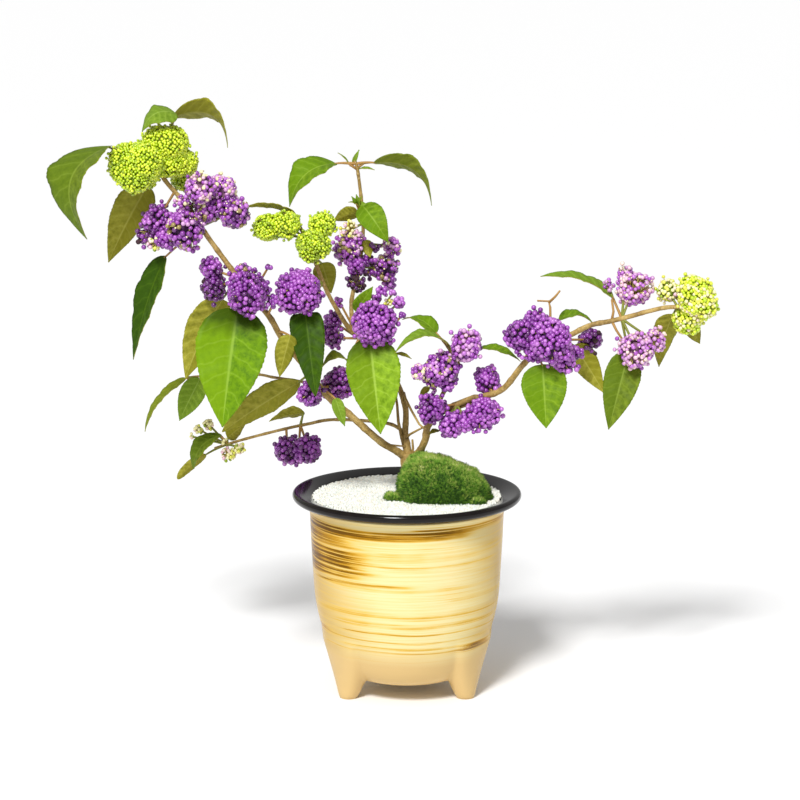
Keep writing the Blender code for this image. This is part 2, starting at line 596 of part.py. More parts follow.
def fruit_cluster(centre, radius, rule):
    """A round cluster with a berry standing out of each of its faces."""
    bm = bmesh.new()
    fineness = 2 if radius >= BIG_CLUSTER else 1
    bmesh.ops.create_icosphere(bm, subdivisions=fineness, radius=radius * 0.93 * MM)
    rise = 0.12 if fineness == 2 else 0.22
    if radius > SMALL_CLUSTER:
        bmesh.ops.poke(bm, faces=bm.faces[:], offset=radius * rise * MM)
    turn = Matrix.Rotation(rule.uniform(0, math.tau), 4, Vector((rule.random(), rule.random(), 1.0)))
    bmesh.ops.transform(bm, verts=bm.verts, matrix=Matrix.Translation(place(centre)) @ turn)
    add_mesh("cluster", bm, joined)


def nearest_node(stem, first, last, target):
    """The node of a mass's stem, where leaves and fruit spring, that lies nearest to a leaf or a cluster."""
    length = (along(stem, last)[0] - along(stem, first)[0]).length
    count = max(1, round(length / INTERNODE))
    nodes = [along(stem, first + (last - first) * (k + 0.5) / count)[0] for k in range(count)]
    return min(nodes, key=lambda point: (point - Vector(target)).length)


# The forks that masses carry: short stubs from the end of a mass's stem towards the boughs that go on
FORKS = {"middle_mass": ("MIDDLE_LEFT", "MIDDLE_RIGHT")}

# Masses: one stem with petioles, leaves, stalks and fruit clusters, all joined into one solid
for order, (name, stem, first, last, leaves, clusters) in enumerate(MASSES):
    rule = random.Random(order)
    points, radii = limb_points(stem, first, last)
    body = tube(name, points, radii, parts, FRUITING if clusters else LEAFY, sides=6)
    for next_stem in FORKS.get(name, ()):
        fork_stub(points[-1], next_stem, radii[-1])
    for base, tip, width, arch, facing in leaves:
        seat = leaf(base, tip, width, arch, facing, rule.uniform(0, math.tau))
        root = nearest_node(stem, first, last, seat)
        rod("petiole", root, seat, PETIOLE_RADIUS * 1.2, PETIOLE_RADIUS * 0.8, joined)
    for index, (centre, radius) in enumerate(clusters):
        fruit_cluster(centre, radius, rule)
        shared = any((Vector(centre) - Vector(other)).length < (radius + wide) * 0.8
                     for other, wide in clusters[:index])
        if not shared:
            root = nearest_node(stem, first, last, centre)
            rod("stalk", root, centre, PEDUNCLE_RADIUS * 1.2, PEDUNCLE_RADIUS, joined)
    join_all(body)

scene.collection.children.unlink(joined)
bpy.data.collections.remove(joined)
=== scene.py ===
"""The looks of a potted beautyberry bonsai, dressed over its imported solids.

Metres, +Z up; the front of the tree faces -Y. Sizes below are in millimetres from the pot's axis, at the
height above the surface that the feet stand on, and place() turns them into the frame's metres.
"""
import math
import random

import bpy
import numpy as np
from mathutils import Matrix, Vector, noise


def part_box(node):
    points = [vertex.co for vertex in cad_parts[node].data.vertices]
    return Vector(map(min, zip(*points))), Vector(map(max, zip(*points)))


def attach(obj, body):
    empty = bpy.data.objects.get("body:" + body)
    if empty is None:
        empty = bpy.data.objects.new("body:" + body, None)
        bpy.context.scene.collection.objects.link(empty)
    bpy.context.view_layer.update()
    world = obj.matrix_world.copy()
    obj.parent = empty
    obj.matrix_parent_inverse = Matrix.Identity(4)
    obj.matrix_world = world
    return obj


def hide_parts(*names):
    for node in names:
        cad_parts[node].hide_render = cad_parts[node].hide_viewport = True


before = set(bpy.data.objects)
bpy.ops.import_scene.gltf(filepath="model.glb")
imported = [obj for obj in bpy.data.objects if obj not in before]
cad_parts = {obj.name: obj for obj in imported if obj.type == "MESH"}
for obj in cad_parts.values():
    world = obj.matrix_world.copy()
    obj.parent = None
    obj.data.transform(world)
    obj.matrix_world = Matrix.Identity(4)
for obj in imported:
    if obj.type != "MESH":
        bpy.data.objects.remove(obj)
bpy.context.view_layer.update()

# The pot. Thrown in buff stoneware as a cylinder with a flared rim, its three feet pulled down out of the
# belly and a drain hole cut through its floor. Black glaze covers the rim; the body has a cream glaze over
# strokes of ochre slip, which a dry brush left while the wheel turned.
MM = 0.001
pot_low, pot_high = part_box("pot")
POT_AXIS = (pot_low + pot_high) / 2
POT_OUTSIDE = [(9, 11), (14, 11), (28, 11), (33, 11.3), (37.5, 12.3), (41.5, 14.8), (45, 18.6), (48.2, 23.6),
               (50.8, 29), (53.6, 35.6), (55.8, 42.3), (57.8, 48.5), (59.3, 55), (60.5, 62), (61.3, 70),
               (62.3, 88), (63.3, 108), (63.6, 118), (63.9, 122.6), (65.8, 125.4), (71, 127.6), (74.2, 129),
               (75.2, 130.8), (75.2, 132.6), (73.8, 134.2)]
POT_INSIDE = [(71.8, 134), (66, 132.2), (62.4, 130.8), (61.6, 129.6), (60.6, 126), (58.2, 121), (56, 90),
              (53.6, 56), (50, 38), (45, 26), (34, 18.6), (14, 17.5), (9, 17.5)]
FOOT_CIRCLE, FOOT_FLAT = 44.3, 5.4
FOOT_BEARINGS = (210.0, 330.0, 90.0)
FOOT_SIDE_SLOPE, FOOT_OUTER_SLOPE, FOOT_FILLET = 2.3, 5.0, 2.8
FOOT_TOP, WALL_READ_TO, WALL_SLACK = 44.0, 64.0, 2.0
RIM_GLAZE_HEIGHT = 126.2
INNER_GLAZE_HEIGHT, INNER_GLAZE_RADIUS = 110.0, 62.2


def place(point):
    """A point in millimetres from the pot's axis, in the frame's metres."""
    return Vector((POT_AXIS.x + point[0] * MM, POT_AXIS.y + point[1] * MM, point[2] * MM))


def start_shape():
    """Leaves nothing selected, so that an operator touches only what is added next."""
    if bpy.context.object and bpy.context.object.mode != "OBJECT":
        bpy.ops.object.mode_set(mode="OBJECT")
    bpy.ops.object.select_all(action="DESELECT")


def throw(name, outline, steps):
    """A form thrown on the wheel: one ring, drawn up and out along an outline."""
    start_shape()
    radius, height = outline[0]
    bpy.ops.mesh.primitive_circle_add(vertices=steps, radius=radius * MM, location=place((0, 0, height)))
    form = bpy.context.object
    form.name = name
    bpy.ops.object.mode_set(mode="EDIT")
    for next_radius, next_height in outline[1:]:
        grow = next_radius / radius
        rise = (0, 0, (next_height - height) * MM)
        bpy.ops.mesh.extrude_region_move(TRANSFORM_OT_translate={"value": rise})
        bpy.ops.transform.resize(value=(grow, grow, 1), center_override=place((0, 0, next_height)))
        radius, height = next_radius, next_height
    bpy.ops.mesh.select_all(action="SELECT")
    bpy.ops.mesh.remove_doubles(threshold=0.00001)
    bpy.ops.mesh.normals_make_consistent(inside=False)
    bpy.ops.object.mode_set(mode="OBJECT")
    bpy.ops.object.transform_apply(location=True, rotation=True, scale=True)
    return form


def smooth_lower(a, b, blend):
    """The lower of two heights, with a fillet where they cross."""
    mix = min(max(0.5 + 0.5 * (b - a) / blend, 0.0), 1.0)
    return b + (a - b) * mix - blend * mix * (1 - mix)


def pull_feet(form):
    """Pulls the three feet down out of the belly, each with a flat pad to stand on."""
    wall_radii, wall_heights = zip(*[point for point in POT_OUTSIDE if point[1] < WALL_READ_TO])
    for corner in form.data.vertices:
        x = (corner.co.x - POT_AXIS.x) / MM
        y = (corner.co.y - POT_AXIS.y) / MM
        z = corner.co.z / MM
        if z > FOOT_TOP or z > np.interp(math.hypot(x, y), wall_radii, wall_heights) + WALL_SLACK:
            continue
        for bearing in FOOT_BEARINGS:
            out = Vector((math.cos(math.radians(bearing)), math.sin(math.radians(bearing))))
            away = Vector((x, y)) - out * FOOT_CIRCLE
            distance = max(away.length, 1e-6)
            outward = max(away.dot(out) / distance, 0.0)
            slope = FOOT_SIDE_SLOPE + FOOT_OUTER_SLOPE * outward ** 3
            beyond = max(distance - FOOT_FLAT, 0.0)
            z = smooth_lower(z, slope * (math.sqrt(beyond ** 2 + 1) - 1), FOOT_FILLET)
        corner.co.z = max(z, 0.0) * MM


def node(tree, kind, inputs=None, **settings):
    """Adds a shader node; an input is a value, or another node's socket to join to it."""
    made = tree.nodes.new(kind)
    for key, value in settings.items():
        setattr(made, key, value)
    for key, value in (inputs or {}).items():
        if isinstance(value, bpy.types.NodeSocket):
            tree.links.new(value, made.inputs[key])
        else:
            made.inputs[key].default_value = value
    return made


def new_finish(name, roughness, **constants):
    """A material with one Principled shader, and that shader."""
    finish = bpy.data.materials.new(name)
    finish.use_nodes = True
    shader = finish.node_tree.nodes["Principled BSDF"]
    shader.inputs["Roughness"].default_value = roughness
    for socket, value in constants.items():
        shader.inputs[socket.replace("_", " ")].default_value = value
    return finish, finish.node_tree, shader


def colour(red, green, blue):
    """A colour as it is seen, 0 to 255, as the light it reflects."""
    linear = [c / 12.92 if c <= 0.04045 else ((c + 0.055) / 1.055) ** 2.4
              for c in (red / 255, green / 255, blue / 255)]
    return (*linear, 1.0)


def ramp(tree, factor, stops):
    """Colours or greys along a factor; each stop is a position and a colour."""
    made = node(tree, "ShaderNodeValToRGB", {"Fac": factor})
    elements = made.color_ramp.elements
    while len(elements) < len(stops):
        elements.new(0.5)
    for element, (position, tone) in zip(elements, stops):
        element.position = position
        element.color = tone if hasattr(tone, "__len__") else (tone, tone, tone, 1.0)
    return made.outputs["Color"]


def maths(tree, operation, a, b=0.0, c=0.0):
    return node(tree, "ShaderNodeMath", {0: a, 1: b, 2: c}, operation=operation).outputs[0]


def blended(tree, factor, a, b, kind="MIX"):
    made = node(tree, "ShaderNodeMix", {0: factor, 6: a, 7: b}, data_type="RGBA", blend_type=kind)
    return made.outputs[2]


def bump(tree, shader, height, strength, distance):
    relief = node(tree, "ShaderNodeBump", {"Height": height, "Strength": strength, "Distance": distance})
    tree.links.new(relief.outputs["Normal"], shader.inputs["Normal"])


def object_spot(tree):
    return node(tree, "ShaderNodeTexCoord").outputs["Object"]


def stretched(tree, spot, scale, rotation=(0, 0, 0)):
    """Where a pattern is read, stretched and turned."""
    made = node(tree, "ShaderNodeMapping", {"Vector": spot, "Rotation": rotation, "Scale": scale})
    return made.outputs["Vector"]


def clouds(tree, spot, scale, detail, roughness=0.5):
    """Soft noise, 0 to 1."""
    inputs = {"Vector": spot, "Scale": scale, "Detail": detail, "Roughness": roughness}
    return node(tree, "ShaderNodeTexNoise", inputs).outputs["Fac"]


def passing(tree, value, low, high, first=0.0, last=1.0, kind="SMOOTHSTEP"):
    """Goes from first to last while a value goes from low to high."""
    inputs = {"Value": value, "From Min": low, "From Max": high, "To Min": first, "To Max": last}
    return node(tree, "ShaderNodeMapRange", inputs, interpolation_type=kind).outputs[0]


# Where the brush left slip: height up the wall, half its width there, the bearings between which it runs (0
# is the front, to the right is positive), and how much slip it carried
SLIP_STROKES = [
    (117.5, 4.2, -92, 38, 1.1), (120.6, 3.2, 10, 92, 0.60), (111.5, 3.4, -92, -40, 1.0),
    (108.0, 1.4, -76, -34, 0.9), (104.6, 1.7, -96, -30, 0.85), (101.4, 1.5, -98, -26, 0.95),
    (98.2, 1.6, -96, -20, 0.8), (97.0, 1.6, -12, 66, 0.26), (94.6, 1.5, -98, -30, 0.9),
    (91.2, 1.7, -96, -22, 0.95), (88.0, 1.4, -94, -34, 0.8), (96.0, 10.0, -100, -30, 0.75),
    (119.0, 3.4, -96, -34, 0.7), (106.0, 6.0, -100, -62, 0.6), (94.0, 8.0, -102, -64, 0.5),
    (106.5, 7.5, -44, 95, 0.13), (84.0, 1.2, -62, -4, 1.0), (74.0, 2.0, 26, 92, 0.22),
    (64.0, 2.4, -76, 92, 0.24), (57.5, 2.2, -50, 90, 0.34), (52.0, 0.9, -40, 92, 0.50),
    (47.5, 4.0, -96, -58, 0.7), (46.0, 0.8, -64, 60, 0.34), (41.5, 1.0, -50, 80, 0.26),
    (38.5, 0.8, -70, 70, 0.42), (39.5, 2.6, 44, 70, 1.0), (116.0, 4.0, 110, 206, 0.8),
    (98.0, 5.0, 96, 176, 0.7), (56.0, 3.4, 92, 214, 0.55), (84.0, 4.0, 184, 262, 0.7),
]
STROKE_FEATHER, STROKE_WANDER, STROKE_RAGGEDNESS = 14.0, 5.0, 90.0
BRISTLE_PITCH, BRISTLE_TILT = (7, 7, 980), (0.012, -0.02, 0)
BROAD_PITCH, RIPPLE_PITCH = (10, 10, 190), (4, 4, 160)
FAINT_BRISTLES, FAINT_BANDS = 0.26, 0.22
CREAM_PALE, CREAM_DEEP, CREAM_FEET = colour(226, 213, 159), colour(200, 167, 98), colour(210, 180, 124)
SLIP_THIN, SLIP_OCHRE, SLIP_BROWN = colour(220, 184, 88), colour(182, 132, 20), colour(108, 72, 0)
FEET_PLAIN_TO, FEET_PLAIN_FROM = 28.0, 42.0


def build_pot_glaze():
    finish, tree, shader = new_finish("brushed_cream_glaze", 0.3, Specular_IOR_Level=0.08,
                                      Coat_Weight=0.05, Coat_Roughness=0.1)
    centring = {"Vector": object_spot(tree), "Location": (-POT_AXIS.x, -POT_AXIS.y, 0)}
    centred = node(tree, "ShaderNodeMapping", centring).outputs["Vector"]
    split = node(tree, "ShaderNodeSeparateXYZ", {"Vector": centred})
    wander = maths(tree, "MULTIPLY_ADD", clouds(tree, centred, 16.0, 1.0), STROKE_WANDER, -STROKE_WANDER / 2)
    height = maths(tree, "MULTIPLY_ADD", split.outputs["Z"], 1 / MM, wander)
    toward = maths(tree, "MULTIPLY", split.outputs["Y"], -1.0)
    bearing = maths(tree, "DEGREES", maths(tree, "ARCTAN2", split.outputs["X"], toward))
    bristles = clouds(tree, stretched(tree, centred, BRISTLE_PITCH, BRISTLE_TILT), 1.0, 5.0, 0.72)
    broad = clouds(tree, stretched(tree, centred, BROAD_PITCH), 1.0, 3.0)
    ragged = maths(tree, "MULTIPLY_ADD", bristles, STROKE_RAGGEDNESS,
                   maths(tree, "SUBTRACT", bearing, STROKE_RAGGEDNESS / 2))
    slip = maths(tree, "MULTIPLY", ramp(tree, bristles, [(0.46, 0.0), (0.74, 1.0)]), FAINT_BRISTLES)
    slip = maths(tree, "MULTIPLY_ADD", ramp(tree, broad, [(0.54, 0.0), (0.76, 1.0)]), FAINT_BANDS, slip)
    for level, half, start, end, load in SLIP_STROKES:
        off = maths(tree, "DIVIDE", maths(tree, "SUBTRACT", height, level), half)
        band = maths(tree, "SUBTRACT", 1.0, maths(tree, "MULTIPLY", off, off))
        band = node(tree, "ShaderNodeClamp", {"Value": band}).outputs[0]
        for turn in ((0.0,) if end <= 180 else (0.0, 360.0)):
            first, last = start - turn, end - turn
            begins = passing(tree, ragged, first - STROKE_FEATHER / 2, first + STROKE_FEATHER / 2)
            stops = passing(tree, ragged, last - STROKE_FEATHER, last + STROKE_FEATHER, 1.0, 0.0)
            stroke = maths(tree, "MULTIPLY", maths(tree, "MULTIPLY", begins, stops), band)
            slip = maths(tree, "MULTIPLY_ADD", stroke, load, slip)
    patches = clouds(tree, centred, 34.0, 2.0)
    slip = maths(tree, "MULTIPLY", slip, ramp(tree, patches, [(0.36, 0.70), (0.54, 1.0)]))
    streaks = ramp(tree, bristles, [(0.40, 0.16), (0.55, 1.0)])
    slip = node(tree, "ShaderNodeClamp", {"Value": maths(tree, "MULTIPLY", slip, streaks)}).outputs[0]
    # Painted light: the cream is painted palest on the side that faces forward, where the light falls, and
    # deeper towards the sides
    painted_front_light = maths(tree, "ADD", bearing, maths(tree, "MULTIPLY_ADD", broad, 40.0, -26.0))
    painted_front_light = passing(tree, maths(tree, "ABSOLUTE", painted_front_light), 16.0, 78.0)
    body = blended(tree, painted_front_light, CREAM_PALE, CREAM_DEEP)
    body = blended(tree, ramp(tree, slip, [(0.0, 0.0), (0.12, 0.4), (0.26, 1.0)]), body, SLIP_THIN)
    body = blended(tree, ramp(tree, slip, [(0.20, 0.0), (0.55, 1.0)]), body, SLIP_OCHRE)
    body = blended(tree, ramp(tree, slip, [(0.62, 0.0), (1.0, 1.0)]), body, SLIP_BROWN)
    # Slip and glaze thin over the feet, which show plain cream
    feet = passing(tree, height, FEET_PLAIN_TO, FEET_PLAIN_FROM, kind="LINEAR")
    tree.links.new(blended(tree, feet, CREAM_FEET, body), shader.inputs["Base Color"])
    # The unglazed undersides of the feet are matt
    bare = ramp(tree, maths(tree, "MULTIPLY", split.outputs["Z"], 500.0), [(0.3, 0.75), (0.6, 0.24)])
    tree.links.new(bare, shader.inputs["Roughness"])
    bump(tree, shader, clouds(tree, stretched(tree, centred, RIPPLE_PITCH), 1.0, 2.0), 0.2, MM)
    return finish


pot = throw("stoneware_pot", POT_OUTSIDE + POT_INSIDE + POT_OUTSIDE[:1], 48)
rounding = pot.modifiers.new("rounding", "SUBSURF")
rounding.levels = rounding.render_levels = 2
bpy.ops.object.modifier_apply(modifier="rounding")
pull_feet(pot)
pot.data.shade_smooth()
pot.data.materials.append(build_pot_glaze())
black_glaze, tree, shader = new_finish("black_glaze", 0.14, Specular_IOR_Level=0.25)
flow = clouds(tree, object_spot(tree), 60.0, 3.0)
black = ramp(tree, flow, [(0.3, colour(10, 8, 8)), (0.7, colour(26, 20, 18))])
tree.links.new(black, shader.inputs["Base Color"])
pot.data.materials.append(black_glaze)
for face in pot.data.polygons:
    middle = face.center
    height, reach = middle.z / MM, math.hypot(middle.x - POT_AXIS.x, middle.y - POT_AXIS.y) / MM
    inside = height > INNER_GLAZE_HEIGHT and reach < INNER_GLAZE_RADIUS
    face.material_index = 1 if height > RIM_GLAZE_HEIGHT or inside else 0
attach(pot, "root")
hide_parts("pot")

# The soil. Moist, dark granular bonsai soil, packed into the pot up to the gravel; it shows through the
# drain hole.
CRUMB_TONES = [(0.0, colour(38, 27, 20)), (0.6, colour(74, 54, 38)), (1.0, colour(122, 98, 74))]
soil_finish, tree, shader = new_finish("granular_soil", 0.95)
crumbs = node(tree, "ShaderNodeTexVoronoi", {"Vector": object_spot(tree), "Scale": 420.0})
tree.links.new(ramp(tree, crumbs.outputs["Color"], CRUMB_TONES), shader.inputs["Base Color"])
bump(tree, shader, crumbs.outputs["Distance"], 0.8, MM)
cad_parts["soil"].data.materials.clear()
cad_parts["soil"].data.materials.append(soil_finish)

# The gravel. Fine crushed white marble, strewn over the soil one or two grains deep and level with the
# rim's inner edge. Each grain is a chipped lump of its own turn and size.
GRAVEL_TOP, GRAVEL_BOTTOM, GRAVEL_RADIUS = 130.4, 124.6, 61.3
GRAIN_SIZE, GRAIN_SPACING, GRAIN_JITTER = 0.95, 1.66, 0.4
GRAIN_GROWTH, GRAIN_RISE = (0.8, 1.2), (-0.25, 0.35)
SWELL_HEIGHT, SWELL_PITCH = 0.4, 0.06
TRUNK_PLACE, TRUNK_SPREAD = (4.0, 6.0), 8.4
MOSS_CENTRE, MOSS_REACH, MOSS_COVER = (21.8, -9.5), (32.9, 20.5, 27.8), 0.85
GRAVEL_TONES = {"marble_white": (242, 243, 234), "marble_grey": (222, 226, 220),
                "marble_cream": (234, 230, 216)}
WHITE, GREY, CREAM = range(3)


def template(kind, shape=None, **sizes):
    """A small form modelled once: its points, and its faces as triangles."""
    start_shape()
    getattr(bpy.ops.mesh, kind)(**sizes)
    form = bpy.context.object
    if shape:
        for corner in form.data.vertices:
            corner.co = shape(corner.co.copy())
    form.data.calc_loop_triangles()
    points = np.array([corner.co for corner in form.data.vertices])
    faces = np.array([face.vertices for face in form.data.loop_triangles])
    bpy.data.objects.remove(form, do_unlink=True)
    return points, faces


def random_turn(rule):
    """A turn about any axis."""
    axis = Vector((rule.gauss(0, 1), rule.gauss(0, 1), rule.gauss(0, 1)))
    return np.array(Matrix.Rotation(rule.uniform(0, math.tau), 3, axis))


def mesh_piece(name, points, faces, finishes, tones=None, smooth=True):
    """One object from points in metres and triangles, each face with the number of its finish."""
    mesh = bpy.data.meshes.new(name)
    mesh.vertices.add(len(points))
    mesh.vertices.foreach_set("co", np.asarray(points, np.float32).ravel())
    mesh.loops.add(len(faces) * 3)
    mesh.loops.foreach_set("vertex_index", np.asarray(faces, np.int32).ravel())
    mesh.polygons.add(len(faces))
    mesh.polygons.foreach_set("loop_start", np.arange(0, len(faces) * 3, 3, dtype=np.int32))
    for finish in finishes:
        mesh.materials.append(finish)
    if tones is not None:
        mesh.polygons.foreach_set("material_index", np.asarray(tones, np.int32))
    mesh.update(calc_edges=True)
    if smooth:
        mesh.shade_smooth()
    piece = bpy.data.objects.new(name, mesh)
    bpy.context.scene.collection.objects.link(piece)
    return piece


def strewn(name, form, places, finishes, smooth=True):
    """Many copies of one form, joined; each place is a point, a 3 by 3 turn and size, and a tone."""
    points, faces = form
    count = len(points)
    all_points = np.concatenate([points @ turn.T + np.array(centre) for centre, turn, _ in places])
    all_faces = np.concatenate([faces + count * k for k in range(len(places))])
    tones = np.repeat([tone for _, _, tone in places], len(faces))
    return mesh_piece(name, all_points, all_faces, finishes, tones, smooth)


def plain_finishes(tones, roughness, prefix=""):
    """One plain material for each named colour."""
    finishes = []
    for finish_name, tone in tones.items():
        finish, _, shader = new_finish(prefix + finish_name, roughness)
        shader.inputs["Base Color"].default_value = colour(*tone)
        finishes.append(finish)
    return finishes


rule = random.Random(11)
grain = template("primitive_ico_sphere_add", lambda p: p * (1 + 0.35 * noise.noise(p * 2.3)),
                 subdivisions=1, radius=1.0)
grains = []
golden = math.pi * (3 - math.sqrt(5))
grain_count = int((GRAVEL_RADIUS / GRAIN_SPACING) ** 2 * math.pi)
for k in range(grain_count):
    reach = GRAVEL_RADIUS * math.sqrt((k + 0.5) / grain_count)
    x = reach * math.cos(k * golden) + rule.uniform(-GRAIN_JITTER, GRAIN_JITTER)
    y = reach * math.sin(k * golden) + rule.uniform(-GRAIN_JITTER, GRAIN_JITTER)
    off_moss = Vector(((x - MOSS_CENTRE[0]) / MOSS_REACH[0], (y - MOSS_CENTRE[1]) / MOSS_REACH[1]))
    off_trunk = math.hypot(x - TRUNK_PLACE[0], y - TRUNK_PLACE[1])
    if off_moss.length < MOSS_COVER or off_trunk < TRUNK_SPREAD:
        continue
    swell = SWELL_HEIGHT * noise.noise(Vector((x, y, 3.0)) * SWELL_PITCH)
    size = GRAIN_SIZE * rule.uniform(*GRAIN_GROWTH)
    height = GRAVEL_TOP + swell + rule.uniform(*GRAIN_RISE)
    turn = random_turn(rule) * size * MM
    grains.append((place((x, y, height)), turn, rule.choice((WHITE, WHITE, WHITE, GREY, CREAM))))
gravel_finishes = plain_finishes(GRAVEL_TONES, 0.55)
gravel = strewn("gravel_grains", grain, grains, gravel_finishes, smooth=False)
BED_PROFILE = [(3, GRAVEL_BOTTOM), (57.8, GRAVEL_BOTTOM), (60.4, 129), (60.9, 130.1), (40, 130.2), (3, 130.2)]
bed = throw("gravel_bed", BED_PROFILE, 64)
bpy.ops.object.mode_set(mode="EDIT")
bpy.ops.mesh.select_all(action="DESELECT")
bpy.ops.mesh.select_non_manifold()
bpy.ops.mesh.edge_face_add()
bpy.ops.object.mode_set(mode="OBJECT")
bed.data.materials.append(gravel_finishes[GREY])
bed.data.shade_smooth()
for piece in (gravel, bed):
    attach(piece, "root")
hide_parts("gravel")

# The moss. One cushion of living moss pressed onto the gravel against the trunk's foot, higher at its left
# end, with a small tuft to either side. Its skin is thousands of short pointed shoots.
MOSS_TONES = {"moss_deep": (56, 96, 14), "moss_green": (100, 146, 34), "moss_light": (152, 176, 72),
              "moss_tip": (206, 206, 130)}
MOSS_FULLNESS, MOSS_SLOPE, MOSS_BLUNT_END = 2.4, 0.32, 0.84
SHOOT_LENGTH, SHOOT_WIDTH, SHOOT_OUT, SHOOT_FOOT = 2.6, 0.42, 0.9, 0.3
SHOOT_COUNT, SHOOT_LEAN, SHOOT_UPWARD = 6000, 0.45, 0.2
SHOOTS_DOWN_TO, SHOOT_SUNK, SHOOT_GROWTH = 1.12, 0.5, (0.7, 1.2)
CUSHION_SKIN, CUSHION_SUNK = 1.8, 1.5
CUSHIONS = [("moss_cushion", MOSS_CENTRE, [side - CUSHION_SKIN for side in MOSS_REACH], SHOOT_COUNT),
            ("left_tuft", (-9.5, -15.0), (4.6, 3.6, 3.4), 240),
            ("right_tuft", (45.0, -25.0), (4.5, 3.5, 2.6), 160)]


def moss_surface(direction, centre, reach):
    """A point on the cushion's skin, in millimetres, in a direction from its middle."""
    fullness = sum(abs(part) ** MOSS_FULLNESS for part in direction) ** (1.0 / MOSS_FULLNESS)
    lumps = 1.0 + 0.06 * noise.noise(direction * 3.1) + 0.05 * noise.noise(direction * 9.0)
    unit = direction * lumps / fullness
    height = GRAVEL_TOP + 0.6 + unit.z * reach[2] * (1.0 - MOSS_SLOPE * unit.x)
    blunt = 1.0 if unit.x > 0 else MOSS_BLUNT_END
    return Vector((centre[0] + unit.x * reach[0] * blunt, centre[1] + unit.y * reach[1], height))


def moss_shoot():
    """One shoot of moss: three narrow leaves that lean out from a foot, as a few bare triangles."""
    points, faces = [], []
    for k in range(3):
        angle = k * math.tau / 3
        out = np.array((math.cos(angle), math.sin(angle), 0.0))
        side = np.array((-math.sin(angle), math.cos(angle), 0.0))
        tip = out * SHOOT_OUT + np.array((0, 0, SHOOT_LENGTH))
        back = out * 0.25 - np.array((0, 0, SHOOT_FOOT))
        a, b, c, d = range(len(points), len(points) + 4)
        points += [side * -SHOOT_WIDTH, side * SHOOT_WIDTH, tip, back]
        faces += [(a, b, c), (b, d, c), (d, a, c), (a, d, b)]
    return np.array(points), np.array(faces)


moss_finishes = plain_finishes(MOSS_TONES, 0.85)
shoots = []
for cushion_name, centre, reach, count in CUSHIONS:
    start_shape()
    bpy.ops.mesh.primitive_ico_sphere_add(subdivisions=5, radius=1.0)
    cushion = bpy.context.object
    for corner in cushion.data.vertices:
        skin = moss_surface(corner.co.normalized(), centre, reach)
        skin.z = max(skin.z, GRAVEL_TOP - CUSHION_SUNK)
        corner.co = place(skin)
    cushion.name = cushion_name
    cushion.data.materials.append(moss_finishes[0])
    cushion.data.shade_smooth()
    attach(cushion, "root")
    for k in range(count):
        rise = 1.0 - SHOOTS_DOWN_TO * (k + 0.5) / count
        spread = math.sqrt(max(1 - rise * rise, 0.0))
        direction = Vector((spread * math.cos(k * golden), spread * math.sin(k * golden), rise))
        skin = moss_surface(direction, centre, reach)
        if skin.z < GRAVEL_TOP - SHOOT_SUNK:
            continue
        outward = Vector([part / side for part, side in zip(direction, reach)]).normalized()
        lean = outward + Vector([rule.uniform(-SHOOT_LEAN, SHOOT_LEAN) for _ in range(3)])
        upright = (lean + Vector((0, 0, SHOOT_UPWARD))).normalized().to_track_quat("Z", "Y").to_matrix()
        turn = np.array(upright @ Matrix.Rotation(rule.uniform(0, 6.3), 3, "Z"))
        # Shoots that face up are painted lighter, as the light falls on the cushion's top; the rest of the
        # tone differs at random
        light = 0.9 + 1.2 * noise.noise(direction * 4.0) + 1.5 * outward.z + rule.uniform(-0.9, 0.9)
        tone = min(max(int(light), 0), len(MOSS_TONES) - 1)
        shoots.append((place(skin), turn * rule.uniform(*SHOOT_GROWTH) * MM, tone))
moss = strewn("moss_shoots", moss_shoot(), shoots, moss_finishes, smooth=False)
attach(moss, "root")
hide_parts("moss")

# The wood. Three thin stems leave one short flared foot, and side shoots leave them; tan bark with raised
# pores, a little swollen at each pair of buds. Each stem is one limb that tapers evenly to its tip.
FORK = Vector((1.0, 5.0, 153.0))
ROUTES = {
    "TRUNK": [(4, 6, 130), (4, 6, 133), (3.8, 5.9, 137), (3.0, 5.6, 142), (2.0, 5.2, 148), (1, 5, 154),
              (1, 5, 157)],
    "LEFT": [(-6, 3, 159), (-18, 0, 167), (-38, -5, 186), (-53, -10, 200), (-65, -16, 218), (-79, -22, 237),
             (-87, -26, 252), (-100, -26, 268), (-111, -22, 282), (-127, -16, 303), (-138, -13, 320),
             (-152, -12, 336), (-162, -12, 351)],
    "MIDDLE": [(0, 9, 163), (-1, 12, 170), (-1, 16, 186), (-7, 18, 203), (-19, 16, 221), (-35, 14, 236)],
    "MIDDLE_LEFT": [(-39, 11, 241), (-44, 6, 250), (-51, 0, 264), (-57, -6, 280), (-62, -8, 294),
                    (-68, -8, 307)],
    "MIDDLE_RIGHT": [(-36, 16, 243), (-36, 20, 257), (-32, 28, 275), (-29, 34, 294), (-29, 34, 313),
                     (-32, 30, 340), (-34, 29, 347)],
    "RIGHT": [(9, 0, 161), (12, -6, 169), (14, -8, 179), (23, -9, 188), (41, -13, 197), (49, -15, 199),
              (62, -18, 205), (75, -22, 222), (88, -25, 234), (104, -26, 241), (116, -26, 247),
              (130, -26, 250), (142, -26, 253), (152, -27, 256), (165, -28, 259), (178, -29, 259)],
    "CENTRE": [(17, -9, 183), (22, -3, 196), (30, -7, 211), (33, -10, 219), (26, -13, 232)],
    "LOW": [(-1, 12, 170), (-14, 24, 174), (-48, 46, 172), (-67, 56, 167), (-87, 64, 161), (-113, 70, 153),
            (-131, 72, 147)],
    "BEHIND": [(-58, -12, 206), (-70, 2, 206), (-87, 16, 206), (-102, 28, 206), (-140, 48, 201),
               (-147, 50, 199)],
}
RADII = {"TRUNK": (8.3, 4.8), "LEFT": (2.4, 1.3), "MIDDLE": (2.2, 1.6), "MIDDLE_LEFT": (1.5, 1.1),
         "MIDDLE_RIGHT": (1.5, 1.0), "RIGHT": (2.4, 1.3), "CENTRE": (1.6, 1.3), "LOW": (1.2, 0.9),
         "BEHIND": (1.0, 0.8)}
